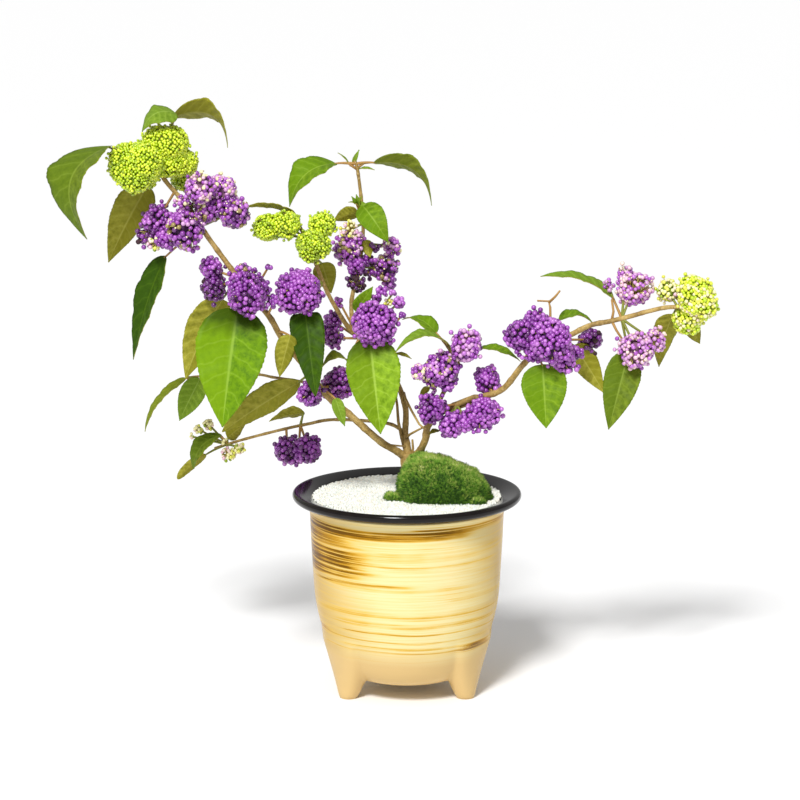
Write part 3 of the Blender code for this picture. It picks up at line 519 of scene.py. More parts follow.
ORIGINS = {"LEFT": FORK, "MIDDLE": FORK, "RIGHT": FORK, "MIDDLE_LEFT": (-35, 14, 236),
           "MIDDLE_RIGHT": (-35, 14, 236)}
BOUGH_NODES = {"TRUNK": ["trunk"], "LEFT": ["left_bough_1", "left_bough_2", "left_bough_3"],
               "MIDDLE": ["middle_bough"], "MIDDLE_LEFT": ["middle_left_bough"],
               "MIDDLE_RIGHT": ["middle_right_bough", "top_bough"],
               "RIGHT": ["right_bough_1", "right_bough_2", "right_bough_3", "right_bough_4"],
               "CENTRE": ["centre_bough"], "LOW": ["low_bough_1", "low_bough_2"], "BEHIND": ["behind_bough"]}
INTERNODE, NODE_SWELLING, SWELLING_WIDTH = 14.0, 0.13, 0.09
ROOT_STEPS, ROOT_PULL, ROOT_FLARE = 8, 0.4, 0.35
TRUNK_SIDES, STEM_SIDES, STEM_PITCH = 20, 12, 1.1


def along(stem, station):
    """The point, heading and radius of a stem at a station, counted in points of its route."""
    route = [Vector(p) for p in ROUTES[stem]]
    last = len(route) - 1
    i = max(min(int(station), last - 1), 0)
    t = station - i
    before = route[i - 1] if i > 0 else route[i] * 2 - route[i + 1]
    after = route[i + 2] if i + 2 <= last else route[i + 1] * 2 - route[i]
    a, b = route[i], route[i + 1]
    point = 0.5 * (2 * a + (b - before) * t + (2 * before - 5 * a + 4 * b - after) * t ** 2
                   + (3 * a - before - 3 * b + after) * t ** 3)
    heading = 0.5 * ((b - before) + 2 * (2 * before - 5 * a + 4 * b - after) * t
                     + 3 * (3 * a - before - 3 * b + after) * t ** 2)
    first_radius, last_radius = RADII[stem]
    return point, heading.normalized(), first_radius + (last_radius - first_radius) * station / last


def limb(line, radii, sides, relief=None):
    """Points (in millimetres) and triangles of a round limb along a line, closed at both ends."""
    line = [Vector(p) for p in line]
    across = (line[1] - line[0]).orthogonal().normalized()
    points, faces = [], []
    for i, centre in enumerate(line):
        heading = (line[min(i + 1, len(line) - 1)] - line[max(i - 1, 0)]).normalized()
        across = (across - heading * across.dot(heading)).normalized()
        beside = heading.cross(across)
        for k in range(sides):
            angle = k * math.tau / sides
            out = across * math.cos(angle) + beside * math.sin(angle)
            grow = relief(centre + out * radii[i], angle) if relief else 1.0
            points.append(centre + out * radii[i] * grow)
        if i:
            low, high = (i - 1) * sides, i * sides
            for k in range(sides):
                m = (k + 1) % sides
                faces += [(low + k, low + m, high + m), (low + k, high + m, high + k)]
    foot, tip = len(points), len(points) + 1
    points += [line[0], line[-1] + (line[-1] - line[-2]).normalized() * radii[-1] * 0.5]
    top = (len(line) - 1) * sides
    for k in range(sides):
        m = (k + 1) % sides
        faces += [(foot, m, k), (tip, top + k, top + m)]
    return np.array([tuple(p) for p in points]), np.array(faces)


def bark_relief(point, angle):
    """How far the bark stands out at a point: long ridges, knots and raised pores."""
    ridges = 0.02 * math.sin(angle * 5 + point.z * 0.12)
    knots = 0.07 * noise.noise(point * 0.22)
    pores = 0.10 * max(noise.noise(point * 1.3) - 0.35, 0.0)
    return 1.0 + ridges + knots + pores


def bent(root, middle, tip, t):
    """The point at a share t of the way along a bend."""
    return root * (1 - t) ** 2 + 2 * middle * t * (1 - t) + tip * t ** 2


def tapered(count, first, last):
    """Radii that go evenly from first to last."""
    return [first + (last - first) * k / (count - 1) for k in range(count)]


def stem_line(stem):
    """A stem's centre line from its fork to its tip, with the radius at each point."""
    last = len(ROUTES[stem]) - 1
    line, radii = [], []
    if stem in ORIGINS:
        start, heading, radius = along(stem, 0)
        root = Vector(ORIGINS[stem])
        pull = (start - root).length * ROOT_PULL
        for k in range(ROOT_STEPS):
            t = k / ROOT_STEPS
            line.append(bent(root, start - heading * pull, start, t))
            radii.append(radius * (1 + ROOT_FLARE - ROOT_FLARE * t))
    travelled = 0.0
    station = 0.0
    while station < last:
        point, _, radius = along(stem, station)
        beat = abs((travelled / INTERNODE) % 1.0 - 0.5)
        swelling = math.exp(-((0.5 - beat) / SWELLING_WIDTH) ** 2) if stem != "TRUNK" else 0.0
        line.append(point)
        radii.append(radius * (1 + NODE_SWELLING * swelling))
        i = min(int(station), last - 1)
        span = (Vector(ROUTES[stem][i + 1]) - Vector(ROUTES[stem][i])).length
        station += STEM_PITCH / span
        travelled += STEM_PITCH
    line.append(Vector(ROUTES[stem][last]))
    radii.append(RADII[stem][1])
    return line, radii


bark, tree, shader = new_finish("tan_bark", 0.72)
spot = object_spot(tree)
mottle, fibres = clouds(tree, spot, 95.0, 4.0), clouds(tree, spot, 700.0, 3.0)
pores = node(tree, "ShaderNodeTexVoronoi", {"Vector": spot, "Scale": 330.0}).outputs["Distance"]
WOOD_TONES = [(0.30, colour(108, 86, 32)), (0.50, colour(156, 128, 58)), (0.70, colour(196, 170, 100))]
wood = ramp(tree, mottle, WOOD_TONES)
wood = blended(tree, ramp(tree, pores, [(0.10, 0.55), (0.22, 0.0)]), wood, colour(224, 200, 150))
wood = blended(tree, 0.3, wood, ramp(tree, fibres, [(0.3, colour(86, 58, 22)), (0.7, colour(214, 180, 118))]))
tree.links.new(wood, shader.inputs["Base Color"])
bump(tree, shader, fibres, 0.5, 0.0006)

for stem, cad_nodes in BOUGH_NODES.items():
    line, radii = stem_line(stem)
    points, faces = limb(line, radii, TRUNK_SIDES if stem == "TRUNK" else STEM_SIDES, bark_relief)
    points = np.array([place(p) for p in points])
    piece = mesh_piece(stem.lower() + "_limb", points, faces, [bark])
    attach(piece, "root")
    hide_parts(*cad_nodes)

# Old twigs at the trunk's foot. Short bare shoots and stubs that cross between the stems; each is set into
# the wood that carries it. Each has its route, and its radius where it starts.
FOOT_TWIGS = [
    ([(-16, 1, 165), (-12, 3, 163.6), (-6, 5, 162.6), (-1, 6, 162)], 0.8),
    ([(-2, 15, 196), (-1, 11, 193), (3, 5, 186), (8, -3, 178.5), (12.5, -6, 175)], 1.0),
    ([(-1, 10, 166), (2, 6, 170), (7, 0, 174), (12.5, -6, 178)], 0.9),
    ([(3, 4, 155), (4, 4, 161), (3.6, 3.6, 167)], 1.0),
    ([(-1, 9, 158), (-3.4, 10, 167), (-5.6, 13.5, 177), (-6.4, 16, 188), (-8, 17.5, 198)], 1.2),
    ([(25, -7, 187.2), (33, -10, 190.6), (41, -12, 193.6), (52, -14, 199), (60, -16, 204)], 1.1),
]
FOOT_TWIG_TAPER, FOOT_TWIG_SIDES = 0.65, 8
points, faces = [], []
for line, girth in FOOT_TWIGS:
    radii = tapered(len(line), girth, girth * FOOT_TWIG_TAPER)
    more_points, more_faces = limb(line, radii, FOOT_TWIG_SIDES)
    faces.append(more_faces + sum(len(group) for group in points))
    points.append(more_points)
points = np.array([place(p) for p in np.concatenate(points)])
old_twigs = mesh_piece("foot_twigs", points, np.concatenate(faces), [bark])
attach(old_twigs, "root")

# The leaves. Each is one thin blade, toothed at the edge and drawn out to a point, with a midrib sunk in
# its upper side, seven pairs of side veins, and the skin puffed up between them. They hang on short stalks.
VEIN_PAIRS, TEETH, TOOTH_DEPTH = 7, 22, 0.035
TOOTHED_FROM, TOOTHED_TO = 0.08, 0.97
BLADE_THICKNESS, LEAST_HALF_WIDTH = 0.35, 0.35
PUFF, PUFFED_LENGTH, MIDRIB_HALF_WIDTH, MIDRIB_DEPTH = 0.014, 60.0, 0.09, 0.5
EDGE_SWAY, SWAY_BEAT, EDGE_RIPPLE, RIPPLE_BEAT = 0.12, 5, 0.05, 19
SMALL_LEAF, FINE_GRID, COARSE_GRID = 30, (66, 12), (34, 8)

veins = bpy.data.node_groups.new("leaf_veins", "ShaderNodeTree")
for socket_name, low, high in (("Pairs", 3.0, 12.0), ("Rake", 0.0, 2.0)):
    socket = veins.interface.new_socket(socket_name, in_out="INPUT", socket_type="NodeSocketFloat")
    socket.min_value, socket.max_value = low, high
for socket_name in ("Veins", "Mottle and pucker shade", "Left half", "Painted stalk shadow"):
    veins.interface.new_socket(socket_name, in_out="OUTPUT", socket_type="NodeSocketFloat")
group_in = node(veins, "NodeGroupInput")
group_out = node(veins, "NodeGroupOutput")
blade_uv = node(veins, "ShaderNodeUVMap", uv_map="UVMap").outputs["UV"]
uv_split = node(veins, "ShaderNodeSeparateXYZ", {"Vector": blade_uv})
across = maths(veins, "ABSOLUTE", maths(veins, "MULTIPLY_ADD", uv_split.outputs["X"], 2.0, -1.0))
drift = clouds(veins, blade_uv, 5.0, 1.0)
phase = maths(veins, "MULTIPLY_ADD", maths(veins, "MULTIPLY", across, group_in.outputs["Rake"]), -1.0,
              maths(veins, "MULTIPLY", uv_split.outputs["Y"], group_in.outputs["Pairs"]))
phase = maths(veins, "MULTIPLY_ADD", drift, 0.5, phase)
beat = maths(veins, "ABSOLUTE", maths(veins, "SUBTRACT", maths(veins, "FRACT", phase), 0.5))
side_veins = ramp(veins, beat, [(0.42, 0.0), (0.49, 1.0)])
midrib = ramp(veins, across, [(0.02, 1.0), (0.06, 0.0)])
toward_tip = maths(veins, "MULTIPLY_ADD", drift, 0.16, maths(veins, "SUBTRACT", uv_split.outputs["Y"], 0.08))
mottle = clouds(veins, object_spot(veins), 330.0, 4.0, 0.65)
# Painted shade of the puckered skin: each patch between two side veins is painted darker in its middle and
# lighter beside the veins
pucker_shade = ramp(veins, beat, [(0.05, 0.44), (0.45, 0.58)])
for socket_name, value in (
    ("Veins", maths(veins, "MAXIMUM", maths(veins, "MULTIPLY", side_veins, 0.45), midrib)),
    ("Left half", ramp(veins, uv_split.outputs["X"], [(0.48, 0.0), (0.54, 1.0)])),
    ("Painted stalk shadow", ramp(veins, toward_tip, [(0.11, 1.0), (0.27, 0.0)])),
    ("Mottle and pucker shade", maths(veins, "MULTIPLY_ADD", mottle, 0.55, maths(veins, "MULTIPLY", pucker_shade, 0.45))),
):
    veins.links.new(value, group_out.inputs[socket_name])

# A leaf's skin where it is darkest and lightest, its veins, and its left half, as they are seen. The greens
# are partly each leaf's own and partly painted light and shade: lit and sunny are painted as in sunlight,
# dark as in shade, and the left half's tone is painted for the light that falls differently on the two sides
# of the fold
LEAF_TONES = {
    "sunny": ((92, 126, 6), (142, 178, 40), (170, 198, 84), (102, 132, 0)),
    "lit": ((70, 108, 4), (112, 150, 12), (152, 184, 66), (118, 154, 8)),
    "bright": ((76, 110, 6), (118, 150, 22), (150, 178, 68), (98, 134, 8)),
    "fresh": ((88, 118, 20), (126, 154, 46), (156, 182, 84), (108, 138, 34)),
    "mid": ((70, 90, 8), (112, 132, 30), (134, 154, 58), (84, 108, 14)),
    "dark": ((36, 60, 0), (60, 92, 2), (82, 110, 22), (40, 68, 0)),
    "olive": ((114, 114, 20), (160, 156, 56), (180, 176, 86), (134, 132, 30)),
    "moor": ((90, 104, 14), (134, 144, 42), (152, 158, 66), (106, 120, 22)),
    "brown": ((92, 78, 22), (128, 108, 42), (148, 130, 66), (100, 86, 28)),
    "gold": ((160, 136, 24), (202, 176, 60), (210, 190, 92), (174, 150, 38)),
}
# Painted shadow: how much darker a leaf is painted towards its stalk, where the cymes above cast shade on the
# broadest ones
PAINTED_STALK_SHADOW, STALK_SHADOW_DARKNESS = {"lit": 0.8, "sunny": 0.7, "bright": 0.2}, 0.5


def leaf_finish(tone_name):
    deep, light, vein, left = LEAF_TONES[tone_name]
    finish, tree, shader = new_finish("leaf_" + tone_name, 0.56, Specular_IOR_Level=0.12)
    pattern = tree.nodes.new("ShaderNodeGroup")
    pattern.node_tree = veins
    pattern.inputs["Pairs"].default_value = float(VEIN_PAIRS)
    pattern.inputs["Rake"].default_value = 1.0
    skin = ramp(tree, pattern.outputs["Mottle and pucker shade"], [(0.36, colour(*deep)), (0.62, colour(*light))])
    # Painted light and shade across the fold: the left half of the blade takes its own tone
    skin = blended(tree, maths(tree, "MULTIPLY", pattern.outputs["Left half"], 0.6), skin, colour(*left))
    skin = blended(tree, maths(tree, "MULTIPLY", pattern.outputs["Veins"], 0.5), skin, colour(*vein))
    # Painted shadow: the blade is painted darker towards its stalk, under the cymes above it
    if tone_name in PAINTED_STALK_SHADOW:
        stalk_shadow = maths(tree, "MULTIPLY", pattern.outputs["Painted stalk shadow"], PAINTED_STALK_SHADOW[tone_name])
        skin = blended(tree, stalk_shadow, skin, colour(*(part * STALK_SHADOW_DARKNESS for part in deep)))
    tree.links.new(skin, shader.inputs["Base Color"])
    return finish


LEAF_FINISHES = {tone_name: leaf_finish(tone_name) for tone_name in LEAF_TONES}


def blade(base, tip, width, arch, facing, upper, spin, under="olive", fold=0.22, widest=0.33, slender=1.48):
    """One leaf as a mesh object: it arches towards its facing and folds along its midrib.

    It is broadest at the share of its length that widest gives, and its ends are drawn out the more, the more
    slender it is. The edge sways from where spin says. The stalk's seat comes with the leaf.
    """
    base, tip = Vector(base), Vector(tip)
    chord = tip - base
    facing = Vector(facing)
    normal = (facing - chord * facing.dot(chord) / chord.length_squared).normalized()
    side = chord.cross(normal).normalized()
    rows, columns = FINE_GRID if chord.length > SMALL_LEAF else COARSE_GRID
    start_shape()
    bpy.ops.mesh.primitive_grid_add(x_subdivisions=columns, y_subdivisions=rows, size=2.0, calc_uvs=True)
    leaf = bpy.context.object
    base_power, tip_power = slender * widest, slender * (1 - widest)
    fullest = widest ** base_power * (1 - widest) ** tip_power
    puff = min(chord.length, PUFFED_LENGTH) * PUFF
    for corner in leaf.data.vertices:
        across, t = corner.co.x, (corner.co.y + 1.0) / 2
        fullness = t ** base_power * (1 - t) ** tip_power / fullest
        tooth = (t * TEETH) % 1.0 - 0.5 if TOOTHED_FROM < t < TOOTHED_TO else 0.0
        edge = 1.0 + TOOTH_DEPTH * tooth * abs(across) ** 6
        half = max(width / 2 * fullness, LEAST_HALF_WIDTH) * edge
        middle = base + chord * t + normal * arch * (4 * t * (1 - t))
        midrib_groove = MIDRIB_DEPTH * puff * math.exp(-(across / MIDRIB_HALF_WIDTH) ** 2) * fullness
        gutter = fold * abs(across) * half - midrib_groove
        phase = (t * VEIN_PAIRS - abs(across)) % 1.0
        quilt = puff * (math.sin(phase * math.pi) ** 0.7 - 0.5) * min(abs(across) * 4, 1) * fullness
        sway = across * half * EDGE_SWAY * math.sin(SWAY_BEAT * t + spin)
        ripple = EDGE_RIPPLE * half * across ** 2 * math.sin(RIPPLE_BEAT * t + spin)
        corner.co = place(middle + side * across * half + normal * (gutter + quilt + (sway + ripple)))
    leaf.data.materials.clear()
    leaf.data.materials.append(LEAF_FINISHES[upper])
    leaf.data.materials.append(LEAF_FINISHES[under])
    shell = leaf.modifiers.new("thickness", "SOLIDIFY")
    shell.thickness = BLADE_THICKNESS * MM
    shell.offset = 0.0
    shell.material_offset = 1
    shell.material_offset_rim = 1
    bpy.ops.object.modifier_apply(modifier="thickness")
    leaf.data.shade_smooth()
    return leaf, base + chord * 0.02 + normal * arch * 0.08


# The fruit. Cymes of round drupes, 3 to 4 mm across when ripe and 2 mm while they are green, crowd into
# balls on branched stalks at the nodes. Ripe ones are glossy purple, the last to turn are lilac, pink,
# yellow or lime.
RIPE, TURNING, BLUSHING, GREEN = 1.72, 1.50, 1.28, 1.06
BERRY_TONES = {
    "deep": (92, 28, 104), "purple": (128, 46, 148), "violet": (158, 72, 176), "bright": (186, 110, 200),
    "lilac": (206, 152, 204), "pink": (230, 188, 206), "blush": (242, 218, 206), "cream": (242, 236, 176),
    "yellow": (224, 226, 84), "lime": (180, 208, 4), "lime_light": (216, 234, 42), "lime_deep": (144, 170, 0),
    "withered": (58, 32, 40), "bract": (150, 132, 70), "heart_shade_purple": (58, 18, 64),
    "heart_shade_green": (112, 140, 8), "heart_shade_lilac": (126, 84, 112),
}
# For each kind of cluster: the berry's radius, its tones by weight, and the tone of its heart, a dark core
# painted as the shade between the berries
FRUIT_KINDS = {
    "ripe": (RIPE, {"deep": 2, "purple": 5, "violet": 4, "bright": 1}, "heart_shade_purple"),
    "dark": (RIPE, {"deep": 5, "purple": 3, "withered": 1}, "heart_shade_purple"),
    "withered": (RIPE, {"withered": 5, "deep": 2}, "heart_shade_purple"),
    "violet": (RIPE, {"purple": 3, "violet": 5, "bright": 3}, "heart_shade_purple"),
    "mixed": (RIPE, {"deep": 2, "purple": 5, "violet": 4, "bright": 2, "lilac": 2, "bract": 2},
              "heart_shade_purple"),
    "lilac": (RIPE, {"purple": 2, "violet": 4, "bright": 5, "lilac": 4, "pink": 1}, "heart_shade_lilac"),
    "turning": (TURNING, {"purple": 3, "violet": 4, "bright": 3, "lilac": 3, "pink": 2, "cream": 2},
                "heart_shade_lilac"),
    "pale": (TURNING, {"violet": 3, "lilac": 5, "pink": 4, "blush": 1, "bright": 3}, "heart_shade_lilac"),
    "lime": (GREEN, {"lime": 5, "lime_light": 5, "lime_deep": 2}, "heart_shade_green"),
    # lime_bright is painted lighter, for a cluster that lies in a leaf's shadow; lime_shade is painted
    # darker, as shade
    "lime_bright": (GREEN, {"lime": 4, "lime_light": 8}, "heart_shade_green"),
    "lime_shade": (GREEN, {"lime": 4, "lime_light": 2, "lime_deep": 5}, "heart_shade_green"),
    "yellow": (BLUSHING, {"lime_light": 5, "yellow": 4, "cream": 4, "blush": 1, "lime": 3}, "heart_shade_green"),
    "straw": (BLUSHING, {"cream": 4, "yellow": 3, "blush": 2, "pink": 1, "lime_deep": 1}, "heart_shade_green"),
}
BERRY_CROWDING, HEXAGON_AREA, LEAST_SHELL, HOLLOW, DENSE = 1.80, 0.866, 0.9, 0.88, 0.8
BERRY_JITTER, BERRY_DEPTH, BERRY_GROWTH = 0.5, (-0.45, 0.25), (0.84, 1.08)
SPECKLED, SPECK_TONES = ("mixed", "turning", "pale"), ("cream", "bract", "blush")
SPECK_SHARE, SPECK_SIZE, SPECK_ASIDE, SPECK_OUT = 0.4, 0.38, 0.95, 0.35
LOBES, LOBE_OUT, LOBE_WIDTH = 6, (0.40, 0.52), (0.60, 0.72)
LOOSE_BERRIES, LOOSE_OUT, SMALL_CLUSTER, BURIED = 0.10, 1.5, 6, 2.2
HUB_DEPTH, HEART_DEPTH, THIN_HEART, HEART_FROM = 0.45, 0.85, 0.75, 5
FRUIT_STALK, FRUIT_STALK_SAG, FRUIT_SEAT = (0.42, 0.28), 0.6, 0.7
berry = template("primitive_uv_sphere_add", lambda p: Vector((p.x, p.y, p.z * 0.94)),
                 segments=8, ring_count=5, radius=1.0)
heart = template("primitive_ico_sphere_add", lambda p: p * (1 + 0.1 * noise.noise(p * 3)), subdivisions=2,
                 radius=1.0)
TONE_NUMBERS = {tone_name: k for k, tone_name in enumerate(BERRY_TONES)}
berry_finishes = plain_finishes(BERRY_TONES, 0.36, "berry_")
for tone_name, finish in zip(BERRY_TONES, berry_finishes):
    dull = tone_name.startswith("heart") or tone_name == "withered"
    skin = finish.node_tree.nodes["Principled BSDF"].inputs
    skin["Roughness"].default_value = 0.8 if dull else 0.36
    skin["Coat Weight"].default_value = 0.0 if dull else 0.8
    skin["Coat Roughness"].default_value = 0.24

TWIG_TONES = {"tan": (168, 128, 66), "green": (126, 132, 46), "straw": (196, 180, 92)}
TWIG_NUMBERS = {tone_name: k for k, tone_name in enumerate(TWIG_TONES)}
twig_finishes = plain_finishes(TWIG_TONES, 0.6, "twig_")


class Shoots:
    """Twigs of one mass, gathered to be joined."""

    def __init__(self):
        self.points, self.faces, self.tones, self.count = [], [], [], 0

    def add(self, line, radii, sides, tone):
        points, faces = limb(line, radii, sides)
        self.points.append(points)
        self.faces.append(faces + self.count)
        self.tones += [TWIG_NUMBERS[tone]] * len(faces)
        self.count += len(points)

    def bend(self, root, tip, root_radius, tip_radius, sag, tone, sides=7, steps=7):
        root, tip = Vector(root), Vector(tip)
        middle = (root + tip) / 2 + Vector((0, 0, sag))
        line = [bent(root, middle, tip, k / steps) for k in range(steps + 1)]
        self.add(line, tapered(steps + 1, root_radius, tip_radius), sides, tone)


def pick(rule, weights):
    return rule.choices(list(weights), list(weights.values()))[0]


def fruit_cluster(index, clusters, root, berries, hearts, twigs, rule):
    """Berries crowded over a lumpy ball, with its stalk; a thin cluster shows each berry's own stalk."""
    centre, radius, kind, share = clusters[index]
    size, tones, heart_tone = FRUIT_KINDS[kind]
    centre = Vector(centre)
    shell = max(radius - size, size * LEAST_SHELL)
    count = max(int(4 * math.pi * shell ** 2 / (HEXAGON_AREA * (size * BERRY_CROWDING) ** 2)), 5)
    hub = centre + (Vector(root) - centre).normalized() * shell * HUB_DEPTH
    start = rule.uniform(0, math.tau)
    lobes = []
    for _ in range(LOBES):
        toward = Vector([rule.gauss(0, 1) for _ in range(3)]).normalized()
        lobes.append((toward * shell * rule.uniform(*LOBE_OUT), shell * rule.uniform(*LOBE_WIDTH)))
    for k in range(count):
        rise = 1.0 - 2.0 * (k + 0.5) / count
        spread = math.sqrt(1 - rise * rise)
        bearing = k * golden + start
        aside = Vector([rule.uniform(-BERRY_JITTER, BERRY_JITTER) for _ in range(3)]) * size / shell
        direction = Vector((spread * math.cos(bearing), spread * math.sin(bearing), rise))
        direction = (direction + aside).normalized()
        reach = shell * HOLLOW
        for lobe, wide in lobes:
            toward = direction.dot(lobe)
            chord = wide ** 2 - lobe.length_squared + toward ** 2
            reach = max(reach, toward + math.sqrt(chord)) if chord > 0 else reach
        loose = rule.random() < LOOSE_BERRIES and radius > SMALL_CLUSTER
        reach += rule.uniform(*BERRY_DEPTH) * size
        spot = centre + direction * (reach + (size * LOOSE_OUT if loose else 0.0))
        hidden = any((spot - Vector(other)).length < wide - size * BURIED
                     for j, (other, wide, _, full) in enumerate(clusters) if j != index and full >= DENSE)
        grow = rule.uniform(*BERRY_GROWTH)
        tone = pick(rule, tones)
        if rule.random() > share or hidden:
            continue
        turn = np.array(direction.to_track_quat("Z", "Y").to_matrix()) * size * grow * MM
        berries.append((place(spot), turn, TONE_NUMBERS[tone]))
        if kind in SPECKLED and rule.random() < SPECK_SHARE:
            aside = direction.cross(Vector([rule.uniform(-1, 1) for _ in range(3)])).normalized()
            speck = spot + aside * size * SPECK_ASIDE + direction * size * SPECK_OUT
            berries.append((place(speck), turn * SPECK_SIZE, TONE_NUMBERS[rule.choice(SPECK_TONES)]))
        if share < DENSE or radius < SMALL_CLUSTER or loose:
            seat = spot - direction * size * FRUIT_SEAT
            sag = rule.uniform(-FRUIT_STALK_SAG, FRUIT_STALK_SAG)
            twigs.bend(hub, seat, *FRUIT_STALK, sag, "straw", 3, 2)
    # A dark heart fills a dense cluster: painted shade, seen in the gaps between the berries
    if share >= DENSE and radius > HEART_FROM:
        full = 1.0 if share == 1.0 else THIN_HEART
        balls = [(Vector((0, 0, 0)), shell * HOLLOW - size * HEART_DEPTH)]
        balls += [(lobe, max(wide - size * HEART_DEPTH, 0.5)) for lobe, wide in lobes]
        for off, wide in balls:
            hearts.append((place(centre + off), np.identity(3) * wide * full * MM, TONE_NUMBERS[heart_tone]))
    return hub


def nearest_node(stem, first, last, target):
    """The pair of buds on a mass's stem that lies nearest to a leaf or a cluster."""
    length = (along(stem, last)[0] - along(stem, first)[0]).length
    count = max(1, round(length / INTERNODE))
    nodes = [along(stem, first + (last - first) * (k + 0.5) / count)[0] for k in range(count)]
    return min(nodes, key=lambda point: (point - Vector(target)).length)


# The radii of a leaf's stalk, a cluster's stalk and a bare spur, where they start and end
LEAF_STALK, CLUSTER_STALK, SPUR = (1.05, 0.6), (0.95, 0.7), (0.95, 0.6)
LEAF_STALK_SAG, CLUSTER_STALK_SAG, GREEN_STALKS = 1.0, 1.0, 0.6


def grow_mass(name, stem, first, last, leaves, clusters=(), spurs=()):
    """Grows a mass from its length of stem: leaves on their stalks, fruit on its stalks, and bare spurs.

    A leaf is its base, tip, width, arch, facing and tone, then what is its own in its shape. A cluster is its
    centre, radius and kind, then the share of its berries that it still has.
    """
    rule = random.Random(name)
    twigs = Shoots()
    blades = []
    for base, tip, width, arch, facing, upper, *shape in leaves:
        leaf, seat = blade(base, tip, width, arch, facing, upper, rule.uniform(0, math.tau), **dict(*shape))
        root = nearest_node(stem, first, last, seat)
        tone = "green" if rule.random() < GREEN_STALKS else "tan"
        twigs.bend(root, seat, *LEAF_STALK, LEAF_STALK_SAG, tone)
        blades.append(leaf)
    berries, hearts = [], []
    clusters = [(*cluster, 1.0) if len(cluster) == 3 else cluster for cluster in clusters]
    for index, (centre, _, kind, _) in enumerate(clusters):
        root = nearest_node(stem, first, last, centre)
        hub = fruit_cluster(index, clusters, root, berries, hearts, twigs, rule)
        tone = "tan" if kind in ("ripe", "dark") else "green"
        sag = rule.uniform(-CLUSTER_STALK_SAG, CLUSTER_STALK_SAG)
        twigs.bend(root, hub, *CLUSTER_STALK, sag, tone)
    for line in spurs:
        twigs.add(line, tapered(len(line), *SPUR), 7, "tan")
    pieces = []
    if blades:
        start_shape()
        for leaf in blades:
            leaf.select_set(True)
        bpy.context.view_layer.objects.active = blades[0]
        if len(blades) > 1:
            bpy.ops.object.join()
        blades[0].name = name + "_leaves"
        pieces.append((blades[0], "leaves"))
    if berries:
        fruit = strewn(name + "_berries", berry, berries, berry_finishes)
        pieces.append((fruit, "fruit_and_leaves"))
    if hearts:
        shaded = strewn(name + "_hearts", heart, hearts, berry_finishes)
        pieces.append((shaded, "fruit_and_leaves"))
    points = np.concatenate(twigs.points) * MM + np.array((POT_AXIS.x, POT_AXIS.y, 0.0))
    faces = np.concatenate(twigs.faces)
    pieces.append((mesh_piece(name + "_twigs", points, faces, twig_finishes, twigs.tones), "bark"))
    for piece, finish_slot in pieces:
        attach(piece, "root")
        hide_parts(name)


# Which way the upper side of a leaf faces
FRONT, FRONT_LEFT, BACK = (0.0, -0.95, 0.3), (-0.75, -0.6, 0.25), (-0.2, 0.9, 0.35)
UP, UP_LEFT, UP_BACK = (0.0, -0.2, 1.0), (-0.45, -0.5, 0.75), (0.35, 0.45, 0.8)

# The left leader's tip. Lime-green cymes sit on the last nodes, between a broad leaf that arches down to
# the left, one turned under side out below it, and a pair that bends over the top.
grow_mass("left_tip_mass", "LEFT", 11, 12, [
    ((-187, -16, 360), (-201, -34, 303), 40, 22, FRONT_LEFT, "mid"),
    ((-166, 0, 333), (-192, 0, 284), 25, 4, BACK, "olive"),
    ((-146, -10, 380), (-167, -16, 369), 23, 7, UP_LEFT, "fresh", {"fold": -0.15}),
    ((-149, 2, 377), (-114, -6, 358), 26, 14, UP_BACK, "moor"),
], [
    ((-168.5, -20, 348), 17.2, "lime"), ((-153, -9, 356.5), 15.6, "lime_bright"),
    ((-144, -6, 348), 10.5, "lime_bright"), ((-143, 0, 337), 7.5, "lime_shade"),
])

# The left leader's upper length. Purple cymes crowd both sides of the stem, palest at the top, with one
# long dark leaf that hangs below them.
grow_mass("left_upper_mass", "LEFT", 9, 11, [
    ((-154, -14, 290), (-175, -20, 224), 22, 3, FRONT_LEFT, "dark"),
], [
    ((-158, -18, 313.4), 10.6, "ripe", 0.9), ((-163, -18, 304), 9.5, "dark", 0.7),
    ((-141, -28, 309), 13.6, "mixed", 0.9), ((-130, -26, 333), 10.5, "turning", 0.85),
    ((-117, -14, 332), 10.5, "turning", 0.85), ((-110, -24, 319), 10.5, "mixed"),
    ((-126, -18, 320), 9.5, "mixed"), ((-152, -26, 303), 8, "ripe"), ((-142, -22, 324), 6, "turning", 0.7),
    ((-160, -24, 299), 6, "straw", 0.5),
])

# The left leader's middle. A heavy purple cyme in front of the stem and smaller ones behind it, with the
# broadest leaf of the tree hanging in front and two that show their under sides.
grow_mass("left_middle_mass", "LEFT", 5, 8, [
    ((-118, -14, 262), (-143, -8, 209), 26, 6, BACK, "olive"),
    ((-107, -34, 259), (-116, -56, 187), 45, 5, FRONT, "lit", {"fold": 0.3}),
    ((-74, -33, 242), (-81, -33, 215), 14, 1, BACK, "gold"),
], [
    ((-124, -20, 282), 8.5, "ripe"), ((-123, -20, 270), 9, "dark"), ((-100, -42, 271), 15, "ripe"),
    ((-103, -40, 285), 5, "mixed", 0.75), ((-83, -40, 264), 5, "ripe", 0.7),
    ((-87, -36, 286), 3, "ripe", 0.7),
])

# The left leader's lower node. Two dark purple cymes in the shade, a long leaf that hangs away to the left
# with its under side out, and a small one in front.
grow_mass("left_lower_mass", "LEFT", 3, 4, [
    ((-69, -10, 208), (-120, -6, 174), 20, 2, BACK, "olive", {"widest": 0.42, "slender": 1.4}),
    ((-46, -20, 199), (-40, -22, 181), 8, 1, FRONT, "fresh"),
], [
    ((-45, 8, 203), 11.8, "ripe"), ((-62.3, -18, 201.3), 9, "ripe"),
])

